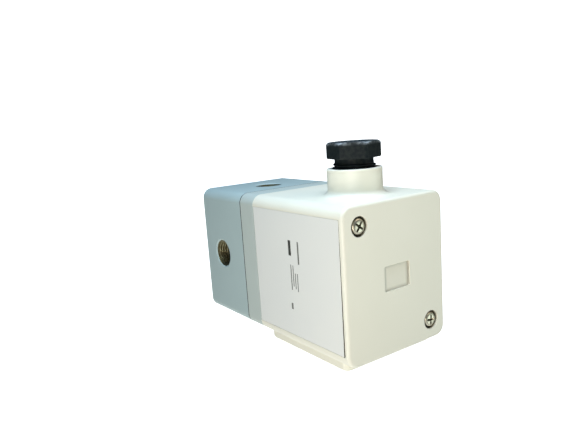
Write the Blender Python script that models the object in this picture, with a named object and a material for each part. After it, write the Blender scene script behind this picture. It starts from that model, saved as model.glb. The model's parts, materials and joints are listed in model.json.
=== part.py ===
# Electro-pneumatic pressure regulator, standing upright on its ported metal body.
# Units are metres. +Z is up, the label faces -Y and the cable gland points to -X.
# The origin is the centre of the base, on the flat end of the valve plug.

import math

import bmesh
import bpy

# Outside of the housing
BODY_WIDTH = 0.0600
BODY_DEPTH = 0.0520
BODY_HEIGHT = 0.03545
PLATE_HEIGHT = 0.0104
COVER_HEIGHT = 0.0580
EDGE_RADIUS = 0.0045
BASE_CHAMFER = 0.0004
PARTING_CHAMFER = 0.00012
SEAT_GAP = 0.0003

# Ports in the body
PORT_RADIUS = 0.0064
PORT_COUNTERSINK = 0.0008
SIDE_PORT_SHARE = 0.5557
SIDE_PORT_WALL = 0.0065
FRONT_PORT_SHARE = 0.4429
FRONT_PORT_WALL = 0.0035
PASSAGE_RADIUS = 0.0019
BRACKET_HOLE_RADIUS = 0.0020
BRACKET_HOLE_DEPTH = 0.0080
BRACKET_HOLE_INSET = 0.0080

# Valve bore and the plug that closes it from below
VALVE_BORE_RADIUS = 0.0115
PLUG_FLANGE_RADIUS = 0.0129
PLUG_FLANGE_SHARE = 0.0846
PLUG_SHARE = 0.3498
PLUG_CAVITY_RADIUS = 0.0042
SPANNER_HOLE_RADIUS = 0.0011
SPANNER_HOLE_DEPTH = 0.0018
SPANNER_HOLE_REACH = 0.0085
EXHAUST_HOLE_RADIUS = 0.0008
EXHAUST_HOLE_SHARE = 0.189
EXHAUST_GROOVE_DEPTH = 0.0009
SEAL_SECTION = 0.00072

# Supply valve, its seat and its spring
SEAT_RISE = 0.0007
SEAT_WEB = 0.0024
SEAT_LIP = 0.0007
SEAT_RADIUS = 0.0050
VALVE_STROKE = 0.0012
VALVE_RADIUS = 0.0070
VALVE_DISC = 0.0013
VALVE_RIM = 0.0006
FACE_RING_HEIGHT = 0.0012
HUB_RADIUS = 0.0026
RELIEF_RADIUS = 0.0015
TAIL_RADIUS = 0.0030
GUIDE_WALL = 0.0013
POCKET_WIDTH = 0.0024
POCKET_SHARE = 0.107
VALVE_SPRING_WIRE = 0.00045
VALVE_SPRING_TURNS = 4.5

# Diaphragm and what it carries
LOWER_CHAMBER_SHARE = 0.165
PILOT_CHAMBER_DEPTH = 0.0050
OUTLET_CHAMBER_RADIUS = 0.0090
DIVIDER_SHARE = 0.0677
RIM_WIDTH = 0.0040
RIM_HEIGHT = 0.0010
WEB_HEIGHT = 0.0008
FOLD_WIDTH = 0.0042
FOLD_HEIGHT = 0.0016
BACKING_MARGIN = 0.0055
BACKING_HEIGHT = 0.0014
ROD_RADIUS = 0.0024
STUD_RADIUS = 0.0020
NUT_FLATS = 0.0070
NUT_HEIGHT = 0.0024
STUD_SPARE = 0.0003

# Screws that hold the middle plate on the body
BODY_SCREW_INSET = 0.0070
BODY_SCREW_BACKSET = 0.0070
BODY_SCREW_RADIUS = 0.0020
BODY_SCREW_REACH = 0.0115
CAP_HEAD_RADIUS = 0.0035
CAP_HEAD_HEIGHT = 0.0036
CAP_SOCKET_FLATS = 0.0030
CAP_SOCKET_DEPTH = 0.0020

# Cover moulding
COVER_WALL = 0.0025
COVER_ROOF = 0.0030
TOP_FILLET = 0.0013
COLUMN_INSET = 0.0080
COLUMN_RADIUS = 0.0058
COUNTERBORE_RADIUS = 0.0038
COUNTERBORE_DEPTH = 0.0026
COVER_SCREW_RADIUS = 0.0015
COVER_SCREW_HEAD = 0.0032
COVER_SCREW_HEAD_HEIGHT = 0.0020
COVER_SCREW_BITE = 0.0070
BADGE_WIDTH = 0.0098
BADGE_LENGTH = 0.0132
BADGE_DEPTH = 0.0008
PAD_PROUD = 0.0032
PAD_SIDE_INSET = 0.0025
PAD_BOTTOM_INSET = 0.0032
PAD_TOP_INSET = 0.0045
PAD_CORNER = 0.0030
PAD_FILLET = 0.0015
GASKET_INSET = 0.00075
GASKET_WIDTH = 0.0010
GASKET_HEIGHT = 0.0012

# Label plate, let into the front of the cover
LABEL_THICKNESS = 0.0008
LABEL_SIDE_INSET = 0.0004
LABEL_TOP_INSET = 0.0019
LABEL_SLIP = 0.0004

# Cable gland on the -X side
GLAND_HEIGHT = 0.0366
BOSS_RADIUS = 0.0110
BOSS_LENGTH = 0.0105
BOSS_FILLET = 0.0022
BOSS_LIP = 0.00015
BOSS_LIP_HEIGHT = 0.0012
GLAND_BORE_RADIUS = 0.0089
CABLE_HOLE_RADIUS = 0.0055
BUSH_LENGTH = 0.0060
BUSH_HOLE_RADIUS = 0.0043
WASHER_LENGTH = 0.0010
WASHER_HOLE_RADIUS = 0.0046
GLAND_HOLE_RADIUS = 0.0048
NECK_RADIUS = 0.0077
NECK_LENGTH = 0.0027
THREAD_PROUD = 0.0012
HEX_FLATS = 0.0190
HEX_HEIGHT = 0.0064
HEX_CHAMFER = 0.0011
HEX_TURN = math.radians(13.0)

# Pilot block on the middle plate
PILOT_GASKET_HEIGHT = 0.0008
PILOT_BLOCK_HEIGHT = 0.0100
PILOT_BLOCK_CORNER = 0.0020
PILOT_BLOCK_CLEAR = 0.0005
PILOT_SCREW_INSET = 0.0040
PILOT_SCREW_RADIUS = 0.0013
PILOT_SCREW_HEAD = 0.0025
PILOT_SCREW_HEAD_HEIGHT = 0.0018
PILOT_SCREW_REACH = 0.0140
PILOT_HOLE_RADIUS = 0.0008
SENSOR_SHARE = 0.276
SENSOR_PLACE = 0.62
SENSOR_HEIGHT = 0.0070
SENSOR_RECESS = 0.0012

# Pilot solenoid valves
PLUNGER_STROKE = 0.0005
NOZZLE_RADIUS = 0.0016
NOZZLE_HEIGHT = 0.0012
SLEEVE_RECESS = 0.0016
SLEEVE_FLANGE = 0.0046
SLEEVE_FLANGE_HEIGHT = 0.0009
SLEEVE_RADIUS = 0.0040
SLEEVE_WALL = 0.0006
ARMATURE_LENGTH = 0.0107
ARMATURE_POCKET = 0.0050
ARMATURE_POCKET_RADIUS = 0.0019
RETURN_SPRING_WIRE = 0.00025
RETURN_SPRING_RADIUS = 0.00125
RETURN_SPRING_TURNS = 5.0
COIL_RADIUS = 0.0063
COIL_LENGTH = 0.0160
YOKE_SHEET = 0.0010
YOKE_DEPTH = 0.0100
SOLENOID_PLACE = 0.345
SOLENOID_SPLIT = 0.0014

# Circuit board, its bracket and what is on it
BRACKET_SHEET = 0.0010
BRACKET_BACK_GAP = 0.0015
BRACKET_FOOT = 0.0070
BRACKET_SCREW_SPREAD = 0.0075
BRACKET_SCREW_RADIUS = 0.0013
BRACKET_SCREW_HEAD = 0.0024
BRACKET_SCREW_REACH = 0.0050
BOARD_SHEET = 0.0016
BOARD_SIDE_GAP = 0.0010
BOARD_TOP_GAP = 0.0042
BOARD_LIFT = 0.0030
BOARD_STANDOFF = 0.0015
BOARD_SCREW_RADIUS = 0.0011
BOARD_SCREW_HEAD = 0.0020
BOARD_SCREW_INSET = 0.0032
TRIMMER_SIZE = 0.0066
TRIMMER_DEPTH = 0.0042
TRIMMER_SHARE = 0.395
TRIMMER_CLEAR = 0.0007
ROTOR_RADIUS = 0.0023
ROTOR_SLOT = 0.0007
TERMINAL_MARGIN = 0.0022
TERMINAL_DEPTH = 0.0080
TERMINAL_HEIGHT = 0.0090
TERMINAL_DROP = 0.0165
TERMINAL_SHANK_SHARE = 0.215
TERMINAL_HEAD_SHARE = 0.338
TERMINAL_POLES = 4

# Smoothness of round pieces, as sides to the full turn
BOSS_SIDES = 40
PORT_SIDES = 28
FINE_SIDES = 28
PLAIN_SIDES = 20
SMALL_SIDES = 12
CORNER_STEPS = 4

# Heights that follow from the sizes above
body_top = BODY_HEIGHT
plate_bottom = body_top + SEAT_GAP
plate_top = plate_bottom + PLATE_HEIGHT
cover_bottom = plate_top + SEAT_GAP
cover_top = cover_bottom + COVER_HEIGHT
roof_inside = cover_top - COVER_ROOF

inner_half_width = BODY_WIDTH / 2 - COVER_WALL
inner_half_depth = BODY_DEPTH / 2 - COVER_WALL
column_x = BODY_WIDTH / 2 - COLUMN_INSET
column_y = BODY_DEPTH / 2 - COLUMN_INSET

# Heights inside the body, as shares of its height
side_port_height = SIDE_PORT_SHARE * BODY_HEIGHT
front_port_height = FRONT_PORT_SHARE * BODY_HEIGHT
side_port_depth = BODY_WIDTH / 2 - VALVE_BORE_RADIUS - SIDE_PORT_WALL
front_port_depth = BODY_DEPTH / 2 - VALVE_BORE_RADIUS - FRONT_PORT_WALL
flange_height = PLUG_FLANGE_SHARE * BODY_HEIGHT
plug_height = PLUG_SHARE * BODY_HEIGHT
exhaust_hole_height = EXHAUST_HOLE_SHARE * BODY_HEIGHT

# Valve train heights, worked up from the plug and down from the diaphragm
cavity_top = exhaust_hole_height + EXHAUST_HOLE_RADIUS + SEAT_GAP
pocket_floor = plug_height - POCKET_SHARE * BODY_HEIGHT
pocket_inner = TAIL_RADIUS + SEAT_GAP + GUIDE_WALL
pocket_outer = pocket_inner + POCKET_WIDTH
supply_top = side_port_height + SEAT_RISE
outlet_bottom = supply_top + SEAT_WEB
chamber_floor = body_top - LOWER_CHAMBER_SHARE * BODY_HEIGHT
outlet_top = chamber_floor - DIVIDER_SHARE * BODY_HEIGHT
valve_top = supply_top - SEAT_LIP - SEAT_GAP
ring_bottom = valve_top - FACE_RING_HEIGHT
disc_top = ring_bottom - SEAT_GAP
disc_bottom = disc_top - VALVE_DISC
tail_bottom = cavity_top + VALVE_STROKE + SEAT_GAP / 2

# The diaphragm fills what the body screws and the wall leave free
body_screw_x = BODY_WIDTH / 2 - BODY_SCREW_INSET
body_screw_y = column_y - BODY_SCREW_BACKSET
screw_reach_in = math.hypot(body_screw_x, body_screw_y) - BODY_SCREW_RADIUS
rim_recess_radius = min(screw_reach_in - 0.0024, BODY_DEPTH / 2 - 2 * COVER_WALL)
rim_radius = rim_recess_radius - SEAT_GAP
chamber_radius = rim_recess_radius - RIM_WIDTH
backing_radius = chamber_radius - BACKING_MARGIN
fold_inner = backing_radius + 2 * SEAT_GAP
rim_bottom = body_top - RIM_HEIGHT
web_bottom = rim_bottom + (RIM_HEIGHT - WEB_HEIGHT) / 2
web_top = web_bottom + WEB_HEIGHT
lower_backing_top = web_bottom - SEAT_GAP
lower_backing_bottom = lower_backing_top - BACKING_HEIGHT
upper_backing_bottom = web_top + SEAT_GAP
upper_backing_top = upper_backing_bottom + BACKING_HEIGHT
diaphragm_nut_bottom = upper_backing_top + SEAT_GAP
stud_top = diaphragm_nut_bottom + NUT_HEIGHT + STUD_SPARE
pilot_chamber_top = plate_bottom + PILOT_CHAMBER_DEPTH

# Board side, worked forward from the back wall of the cover
bracket_back = inner_half_depth - BRACKET_BACK_GAP
bracket_front = bracket_back - BRACKET_SHEET
board_back = bracket_front - BOARD_STANDOFF
board_front = board_back - BOARD_SHEET
foot_front = bracket_back - BRACKET_FOOT
board_half_width = column_x - COLUMN_RADIUS - BOARD_SIDE_GAP

# Pilot side
block_half_width = column_x - COLUMN_RADIUS - PILOT_BLOCK_CLEAR
block_half_depth = foot_front - PILOT_BLOCK_CLEAR
gasket_bottom = plate_top + SEAT_GAP
block_bottom = gasket_bottom + PILOT_GASKET_HEIGHT + SEAT_GAP
block_top = block_bottom + PILOT_BLOCK_HEIGHT
recess_floor = block_top - SLEEVE_RECESS
nozzle_top = recess_floor + NOZZLE_HEIGHT
armature_bottom = nozzle_top + SEAT_GAP
armature_top = armature_bottom + ARMATURE_LENGTH
core_bottom = armature_top + PLUNGER_STROKE + SEAT_GAP
sleeve_inner = SLEEVE_RADIUS - SLEEVE_WALL
armature_radius = sleeve_inner - SEAT_GAP
coil_hole = SLEEVE_RADIUS + SEAT_GAP
yoke_inner_half = COIL_RADIUS + SEAT_GAP
yoke_half = yoke_inner_half + YOKE_SHEET
yoke_bottom = block_top + SEAT_GAP
coil_bottom = yoke_bottom + YOKE_SHEET + SEAT_GAP
coil_top = coil_bottom + COIL_LENGTH
yoke_top = coil_top + SEAT_GAP + YOKE_SHEET
core_shoulder = coil_top - SEAT_GAP
core_nut_bottom = yoke_top + SEAT_GAP
core_top = core_nut_bottom + NUT_HEIGHT + STUD_SPARE
solenoid_x = yoke_half + SOLENOID_SPLIT / 2
solenoid_y = -SOLENOID_PLACE * block_half_depth
sensor_radius = SENSOR_SHARE * block_half_depth
sensor_y = SENSOR_PLACE * block_half_depth

board_bottom = block_top + BOARD_LIFT
board_top = roof_inside - BOARD_TOP_GAP
trimmer_x = TRIMMER_SHARE * board_half_width
trimmer_drop = BOARD_SCREW_INSET + BOARD_SCREW_HEAD + TRIMMER_CLEAR + TRIMMER_SIZE / 2
terminal_width = 2 * (board_half_width - TERMINAL_MARGIN)
terminal_pitch = terminal_width / TERMINAL_POLES
terminal_shank = TERMINAL_SHANK_SHARE * terminal_pitch
terminal_head = TERMINAL_HEAD_SHARE * terminal_pitch

# Gland, as distances out from the -X face of the cover
gland_z = cover_bottom + GLAND_HEIGHT
cover_side = BODY_WIDTH / 2
bush_in = SEAT_GAP
bush_out = bush_in + BUSH_LENGTH
washer_in = bush_out + SEAT_GAP
washer_out = washer_in + WASHER_LENGTH
nut_in = washer_out + SEAT_GAP
thread_out = BOSS_LENGTH + THREAD_PROUD
hex_in = thread_out + NECK_LENGTH
hex_out = hex_in + HEX_HEIGHT
gland_fit_radius = GLAND_BORE_RADIUS - SEAT_GAP

# Which way local +Z points once an object is turned
FACING_LEFT = (0.0, -math.pi / 2, 0.0)
FACING_RIGHT = (0.0, math.pi / 2, 0.0)
FACING_FRONT = (math.pi / 2, 0.0, 0.0)
UPRIGHT = (0.0, 0.0, 0.0)


def clear_scene():
    for old in list(bpy.data.objects):
        bpy.data.objects.remove(old, do_unlink=True)


def make_material(name, colour, roughness, metallic):
    material = bpy.data.materials.new(name)
    material.use_nodes = True
    shader = material.node_tree.nodes["Principled BSDF"]
    shader.inputs["Base Color"].default_value = (*colour, 1.0)
    shader.inputs["Roughness"].default_value = roughness
    shader.inputs["Metallic"].default_value = metallic
    return material


def cast_aluminium(name):
    return make_material(name, (0.55, 0.57, 0.57), 0.45, 0.6)


def cream_plastic(name):
    return make_material(name, (0.82, 0.80, 0.68), 0.35, 0.0)


def white_film(name):
    return make_material(name, (0.78, 0.80, 0.80), 0.4, 0.0)


def black_plastic(name):
    return make_material(name, (0.02, 0.022, 0.024), 0.45, 0.0)


def black_rubber(name):
    return make_material(name, (0.03, 0.03, 0.03), 0.7, 0.0)


def bright_steel(name):
    return make_material(name, (0.62, 0.62, 0.60), 0.3, 1.0)


def yellow_brass(name):
    return make_material(name, (0.65, 0.50, 0.22), 0.35, 1.0)


def green_laminate(name):
    return make_material(name, (0.02, 0.20, 0.08), 0.4, 0.0)


def green_plastic(name):
    return make_material(name, (0.05, 0.30, 0.12), 0.4, 0.0)


def blue_plastic(name):
    return make_material(name, (0.04, 0.13, 0.45), 0.4, 0.0)


def white_plastic(name):
    return make_material(name, (0.85, 0.85, 0.82), 0.4, 0.0)


def dark_resin(name):
    return make_material(name, (0.06, 0.06, 0.07), 0.35, 0.0)


def finish_object(name, shape, make_finish=None, place=(0.0, 0.0, 0.0), facing=UPRIGHT):
    """Turn a closed bmesh into a named object, smooth on its round faces only."""
    bmesh.ops.recalc_face_normals(shape, faces=shape.faces)
    mesh = bpy.data.meshes.new(name)
    shape.to_mesh(mesh)
    shape.free()
    mesh.shade_smooth()
    mesh.set_sharp_from_angle(angle=math.radians(40.0))
    piece = bpy.data.objects.new(name, mesh)
    bpy.context.scene.collection.objects.link(piece)
    piece.location = place
    piece.rotation_euler = facing
    if make_finish:
        mesh.materials.append(make_finish(name + "_finish"))
    return piece


def turned(name, profile, finish=None, place=(0.0, 0.0, 0.0), facing=UPRIGHT, sides=PLAIN_SIDES):
    """Spin a profile of (radius, height) points about local Z; one off the axis is closed on itself."""
    shape = bmesh.new()
    points = [shape.verts.new((radius, 0.0, height)) for radius, height in profile]
    edges = [shape.edges.new(pair) for pair in zip(points, points[1:])]
    if profile[0][0] > 0.0:
        edges.append(shape.edges.new((points[-1], points[0])))
    bmesh.ops.spin(shape, geom=points + edges, cent=(0, 0, 0), axis=(0, 0, 1),
                   angle=math.tau, steps=sides, use_merge=True)
    bmesh.ops.remove_doubles(shape, verts=shape.verts, dist=1e-6)
    return finish_object(name, shape, finish, place, facing)


def ring(name, inner, outer, bottom, top, finish=None, place=(0.0, 0.0, 0.0),
         facing=UPRIGHT, sides=PLAIN_SIDES):
    profile = [(inner, bottom), (outer, bottom), (outer, top), (inner, top)]
    return turned(name, profile, finish, place, facing, sides)


def rod(name, radius, bottom, top, finish=None, place=(0.0, 0.0, 0.0),
        facing=UPRIGHT, sides=PLAIN_SIDES):
    profile = [(0.0, bottom), (radius, bottom), (radius, top), (0.0, top)]
    return turned(name, profile, finish, place, facing, sides)


def rounded_rectangle(half_width, half_depth, radius, steps=CORNER_STEPS):
    """Corner points of a rectangle with round corners, anticlockwise about the origin."""
    points = []
    corners = ((1, 1, 0.0), (-1, 1, 0.25), (-1, -1, 0.5), (1, -1, 0.75))
    for side_x, side_y, start in corners:
        centre_x = side_x * (half_width - radius)
        centre_y = side_y * (half_depth - radius)
        for step in range(steps + 1):
            angle = math.tau * (start + 0.25 * step / steps)
            points.append((centre_x + radius * math.cos(angle), centre_y + radius * math.sin(angle)))
    return points


def rectangle(half_width, half_depth):
    return [(half_width, half_depth), (-half_width, half_depth),
            (-half_width, -half_depth), (half_width, -half_depth)]


def hexagon(across_flats, turn=0.0):
    radius = across_flats / math.sqrt(3.0)
    angles = [turn + math.tau * step / 6 for step in range(6)]
    return [(radius * math.cos(angle), radius * math.sin(angle)) for angle in angles]


def extruded(outline, bottom, top):
    """Raise an outline in the XY plane into a closed prism."""
    shape = bmesh.new()
    base = shape.faces.new([shape.verts.new((x, y, bottom)) for x, y in outline])
    raised = bmesh.ops.extrude_face_region(shape, geom=[base])
    moved = [item for item in raised["geom"] if isinstance(item, bmesh.types.BMVert)]
    bmesh.ops.translate(shape, verts=moved, vec=(0.0, 0.0, top - bottom))
    return shape


def round_level_edges(shape, height, width, segments):
    """Bevel the edges that lie at one height, such as the rim of a prism's end."""
    near = 1e-6
    level = [edge for edge in shape.edges if all(abs(v.co.z - height) < near for v in edge.verts)]
    bmesh.ops.bevel(shape, geom=level, offset=width, segments=segments, profile=0.5, affect="EDGES")


def prism(name, outline, bottom, top, finish=None, place=(0.0, 0.0, 0.0), facing=UPRIGHT):
    return finish_object(name, extruded(outline, bottom, top), finish, place, facing)


def boolean(target, tool, operation):
    """Join or cut a piece with a tool object, which is kept as a hidden guide."""
    tool.hide_render = True
    tool.hide_viewport = False
    tool.display_type = "WIRE"
    change = target.modifiers.new(tool.name, "BOOLEAN")
    change.operation = operation
    change.solver = "EXACT"
    change.object = tool


def cut(target, tool):
    boolean(target, tool, "DIFFERENCE")


def join(target, tool):
    boolean(target, tool, "UNION")


def coil_spring(name, radius, wire, bottom, top, turns, place, sides):
    """Compression spring: the first and last turn lie nearly flat, and the rest climbs evenly."""
    steps = int(turns * sides)
    low = bottom + wire
    climb = top - bottom - 2 * wire
    flat_share = 0.75 / turns
    flat_rise = 2.2 * wire / climb * 0.75
    curve = bpy.data.curves.new(name, "CURVE")
    curve.dimensions = "3D"
    curve.bevel_depth = wire
    curve.bevel_resolution = 0
    curve.use_fill_caps = True
    line = curve.splines.new("POLY")
    line.points.add(steps)
    for step, point in enumerate(line.points):
        along = step / steps
        if along < flat_share:
            rise = flat_rise * along / flat_share
        elif along > 1 - flat_share:
            rise = 1 - flat_rise * (1 - along) / flat_share
        else:
            rise = flat_rise + (1 - 2 * flat_rise) * (along - flat_share) / (1 - 2 * flat_share)
        angle = math.tau * turns * along
        point.co = (radius * math.cos(angle), radius * math.sin(angle), low + climb * rise, 1.0)
    curve.materials.append(bright_steel(name + "_finish"))
    piece = bpy.data.objects.new(name, curve)
    bpy.context.scene.collection.objects.link(piece)
    piece.location = place
    return piece


def seal_ring(name, centre_radius, section, height):
    """Round-section rubber ring lying level."""
    profile = []
    for step in range(6):
        angle = math.tau * step / 6
        profile.append((centre_radius + section * math.cos(angle), height + section * math.sin(angle)))
    return turned(name, profile, black_rubber)


def pan_screw(name, head, head_height, shank, reach, place, facing=UPRIGHT):
    """Screw with a domed head that sits on local z = 0 and a shank that reaches below it."""
    profile = [(0.0, -reach), (shank, -reach + shank * 0.5), (shank, 0.0), (head, 0.0),
               (head, head_height * 0.5), (head * 0.75, head_height), (0.0, head_height)]
    return turned(name, profile, bright_steel, place, facing, sides=SMALL_SIDES)


def hex_nut(name, across_flats, height, hole, place):
    nut = prism(name, hexagon(across_flats), 0.0, height, bright_steel, place)
    cut(nut, rod(name + "_hole", hole, -height, 2 * height, place=place, sides=SMALL_SIDES))
    return nut


def block_outline():
    return rounded_rectangle(BODY_WIDTH / 2, BODY_DEPTH / 2, EDGE_RADIUS)


def cut_port(body, name, place, facing, depth):
    """Port with a small countersink at its mouth; local +Z points out of the body."""
    mouth = PORT_RADIUS + PORT_COUNTERSINK
    profile = [(0.0, -depth), (PORT_RADIUS, -depth), (PORT_RADIUS, -PORT_COUNTERSINK), (mouth, 0.0),
               (mouth, PORT_COUNTERSINK), (0.0, PORT_COUNTERSINK)]
    cut(body, turned(name, profile, place=place, facing=facing, sides=PORT_SIDES))


def main_body():
    """Cast block with its two side ports, the front port and the stepped valve bore."""
    shape = extruded(block_outline(), 0.0, body_top)
    round_level_edges(shape, 0.0, BASE_CHAMFER, 1)
    round_level_edges(shape, body_top, PARTING_CHAMFER, 1)
    body = finish_object("main_body", shape, cast_aluminium)

    flange_hole = PLUG_FLANGE_RADIUS + SEAT_GAP
    flange_seat = flange_height + SEAT_GAP
    groove = VALVE_BORE_RADIUS + EXHAUST_GROOVE_DEPTH
    groove_low = exhaust_hole_height - EXHAUST_HOLE_RADIUS - SEAT_GAP / 2
    groove_high = exhaust_hole_height + EXHAUST_HOLE_RADIUS + SEAT_GAP / 2
    lip_outer = SEAT_RADIUS + 2 * SEAT_LIP
    cut(body, turned("valve_bore", [
        (0.0, -SEAT_GAP), (flange_hole, -SEAT_GAP), (flange_hole, flange_seat),
        (VALVE_BORE_RADIUS, flange_seat), (VALVE_BORE_RADIUS, groove_low), (groove, groove_low),
        (groove, groove_high), (VALVE_BORE_RADIUS, groove_high), (VALVE_BORE_RADIUS, supply_top),
        (lip_outer, supply_top), (SEAT_RADIUS + SEAT_LIP, supply_top - SEAT_LIP),
        (SEAT_RADIUS, supply_top - SEAT_LIP), (SEAT_RADIUS, outlet_bottom),
        (OUTLET_CHAMBER_RADIUS, outlet_bottom), (OUTLET_CHAMBER_RADIUS, outlet_top),
        (ROD_RADIUS + SEAT_GAP, outlet_top), (ROD_RADIUS + SEAT_GAP, chamber_floor),
        (chamber_radius, chamber_floor), (chamber_radius, rim_bottom - SEAT_GAP),
        (rim_recess_radius, rim_bottom - SEAT_GAP), (rim_recess_radius, body_top + SEAT_GAP),
        (0.0, body_top + SEAT_GAP)], sides=FINE_SIDES))

    half_width = BODY_WIDTH / 2
    half_depth = BODY_DEPTH / 2
    cut_port(body, "inlet_port", (-half_width, 0.0, side_port_height), FACING_LEFT, side_port_depth)
    cut_port(body, "outlet_port", (half_width, 0.0, side_port_height), FACING_RIGHT, side_port_depth)
    cut_port(body, "exhaust_port", (0.0, -half_depth, front_port_height), FACING_FRONT, front_port_depth)

    side_reach = half_width - side_port_depth + SEAT_GAP
    inlet_z = side_port_height - PORT_RADIUS + 1.6 * PASSAGE_RADIUS
    cut(body, rod("inlet_passage", PASSAGE_RADIUS, 0.8 * VALVE_BORE_RADIUS, side_reach,
                  place=(0.0, 0.0, inlet_z), facing=FACING_LEFT, sides=SMALL_SIDES))
    outlet_z = (outlet_bottom + outlet_top) / 2
    cut(body, rod("outlet_passage", PASSAGE_RADIUS, 0.8 * OUTLET_CHAMBER_RADIUS, side_reach,
                  place=(0.0, 0.0, outlet_z), facing=FACING_RIGHT, sides=SMALL_SIDES))
    drop_y = half_depth - front_port_depth + 1.25 * PASSAGE_RADIUS
    cut(body, rod("exhaust_drop", PASSAGE_RADIUS, exhaust_hole_height - 2 * EXHAUST_HOLE_RADIUS,
                  front_port_height, place=(0.0, -drop_y, 0.0), sides=SMALL_SIDES))
    cut(body, rod("exhaust_passage", EXHAUST_HOLE_RADIUS, 0.95 * VALVE_BORE_RADIUS, drop_y,
                  place=(0.0, 0.0, exhaust_hole_height), facing=FACING_FRONT, sides=SMALL_SIDES))
    cut(body, rod("feedback_hole", EXHAUST_HOLE_RADIUS, outlet_top - SEAT_GAP, chamber_floor + SEAT_GAP,
                  place=(OUTLET_CHAMBER_RADIUS * 0.5, OUTLET_CHAMBER_RADIUS * 0.45, 0.0), sides=8))

    screw_hole = BODY_SCREW_RADIUS + SEAT_GAP
    bracket_x = half_width - BRACKET_HOLE_INSET
    bracket_y = half_depth - BRACKET_HOLE_INSET
    for number, (side_x, side_y) in enumerate(corner_sides(), 1):
        cut(body, rod(f"body_screw_hole_{number}", screw_hole, body_top - BODY_SCREW_REACH,
                      body_top + SEAT_GAP, sides=SMALL_SIDES,
                      place=(side_x * body_screw_x, side_y * body_screw_y, 0.0)))
        cut(body, rod(f"bracket_hole_{number}", BRACKET_HOLE_RADIUS, -SEAT_GAP, BRACKET_HOLE_DEPTH,
                      sides=SMALL_SIDES, place=(side_x * bracket_x, side_y * bracket_y, 0.0)))


def corner_sides():
    return ((-1, -1), (1, -1), (1, 1), (-1, 1))


def bottom_plug():
    """Screw-in plug: guides the valve tail, holds its spring and leads the exhaust to the groove."""
    low = (flange_height + exhaust_hole_height - EXHAUST_HOLE_RADIUS) / 2
    high = (exhaust_hole_height + EXHAUST_HOLE_RADIUS + plug_height) / 2
    shank = VALVE_BORE_RADIUS - SEAT_GAP
    seal_radius = shank - SEAL_SECTION
    groove = seal_radius - SEAL_SECTION - SEAT_GAP
    half_groove = SEAL_SECTION + SEAT_GAP
    guide = TAIL_RADIUS + SEAT_GAP
    profile = [(0.0, 0.0), (PLUG_FLANGE_RADIUS, 0.0), (PLUG_FLANGE_RADIUS, flange_height),
               (shank, flange_height)]
    for middle in (low, high):
        profile += [(shank, middle - half_groove), (groove, middle - half_groove),
                    (groove, middle + half_groove), (shank, middle + half_groove)]
    profile += [(shank, plug_height), (pocket_outer, plug_height), (pocket_outer, pocket_floor),
                (pocket_inner, pocket_floor), (pocket_inner, plug_height), (guide, plug_height),
                (guide, cavity_top), (PLUG_CAVITY_RADIUS, cavity_top),
                (PLUG_CAVITY_RADIUS, flange_height), (0.0, flange_height)]
    plug = turned("bottom_plug", profile, yellow_brass, sides=FINE_SIDES)
    for number in (1, 3):
        facing = (0.0, math.pi / 2, number * math.pi / 4)
        cut(plug, rod(f"plug_cross_hole_{number}", EXHAUST_HOLE_RADIUS, -VALVE_BORE_RADIUS,
                      VALVE_BORE_RADIUS, place=(0.0, 0.0, exhaust_hole_height), facing=facing,
                      sides=8))
    for side in (-1, 1):
        cut(plug, rod(f"spanner_hole_{side + 1}", SPANNER_HOLE_RADIUS, -SEAT_GAP, SPANNER_HOLE_DEPTH,
                      place=(side * SPANNER_HOLE_REACH, 0.0, 0.0), sides=SMALL_SIDES))
    seal_ring("plug_seal_lower", seal_radius, SEAL_SECTION, low)
    seal_ring("plug_seal_upper", seal_radius, SEAL_SECTION, high)


def supply_valve():
    """Relieving poppet: a cupped disc round a hub, on a hollow tail."""
    cup_inner = VALVE_RADIUS - VALVE_RIM
    place = (0.0, 0.0, disc_bottom)
    profile = [(RELIEF_RADIUS, tail_bottom), (TAIL_RADIUS, tail_bottom), (TAIL_RADIUS, disc_bottom),
               (VALVE_RADIUS, disc_bottom), (VALVE_RADIUS, ring_bottom + FACE_RING_HEIGHT / 2),
               (cup_inner, ring_bottom + FACE_RING_HEIGHT / 2), (cup_inner, disc_top),
               (HUB_RADIUS, disc_top), (HUB_RADIUS, valve_top), (RELIEF_RADIUS, valve_top)]
    profile = [(radius, height - disc_bottom) for radius, height in profile]
    turned("supply_valve", profile, yellow_brass, place)
    ring("valve_face_ring", HUB_RADIUS + SEAT_GAP, cup_inner - SEAT_GAP, ring_bottom - disc_bottom,
         valve_top - disc_bottom, black_rubber, place)
    coil_spring("valve_spring", (pocket_inner + pocket_outer) / 2, VALVE_SPRING_WIRE,
                pocket_floor + SEAT_GAP, disc_bottom - SEAT_GAP, VALVE_SPRING_TURNS, (0, 0, 0), 10)


def diaphragm():
    """Rubber disc with a thick clamped rim and one rolling fold, as thick as its web all round."""
    hole = STUD_RADIUS + SEAT_GAP
    steps = 6
    fold = []
    for step in range(steps + 1):
        share = step / steps
        lift = FOLD_HEIGHT * (1 - math.cos(math.tau * share)) / 2
        fold.append((fold_inner + FOLD_WIDTH * share, lift))
    rim_inner = chamber_radius + SEAT_GAP
    under = [(radius, web_bottom + lift) for radius, lift in fold]
    over = [(radius, web_top + lift) for radius, lift in reversed(fold)]
    profile = [(hole, web_bottom)] + under
    profile += [(rim_inner, web_bottom), (rim_inner, rim_bottom), (rim_radius, rim_bottom),
                (rim_radius, body_top), (rim_inner, body_top), (rim_inner, web_top)]
    profile += over + [(hole, web_top)]
    turned("diaphragm", profile, black_rubber, sides=FINE_SIDES)


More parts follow.
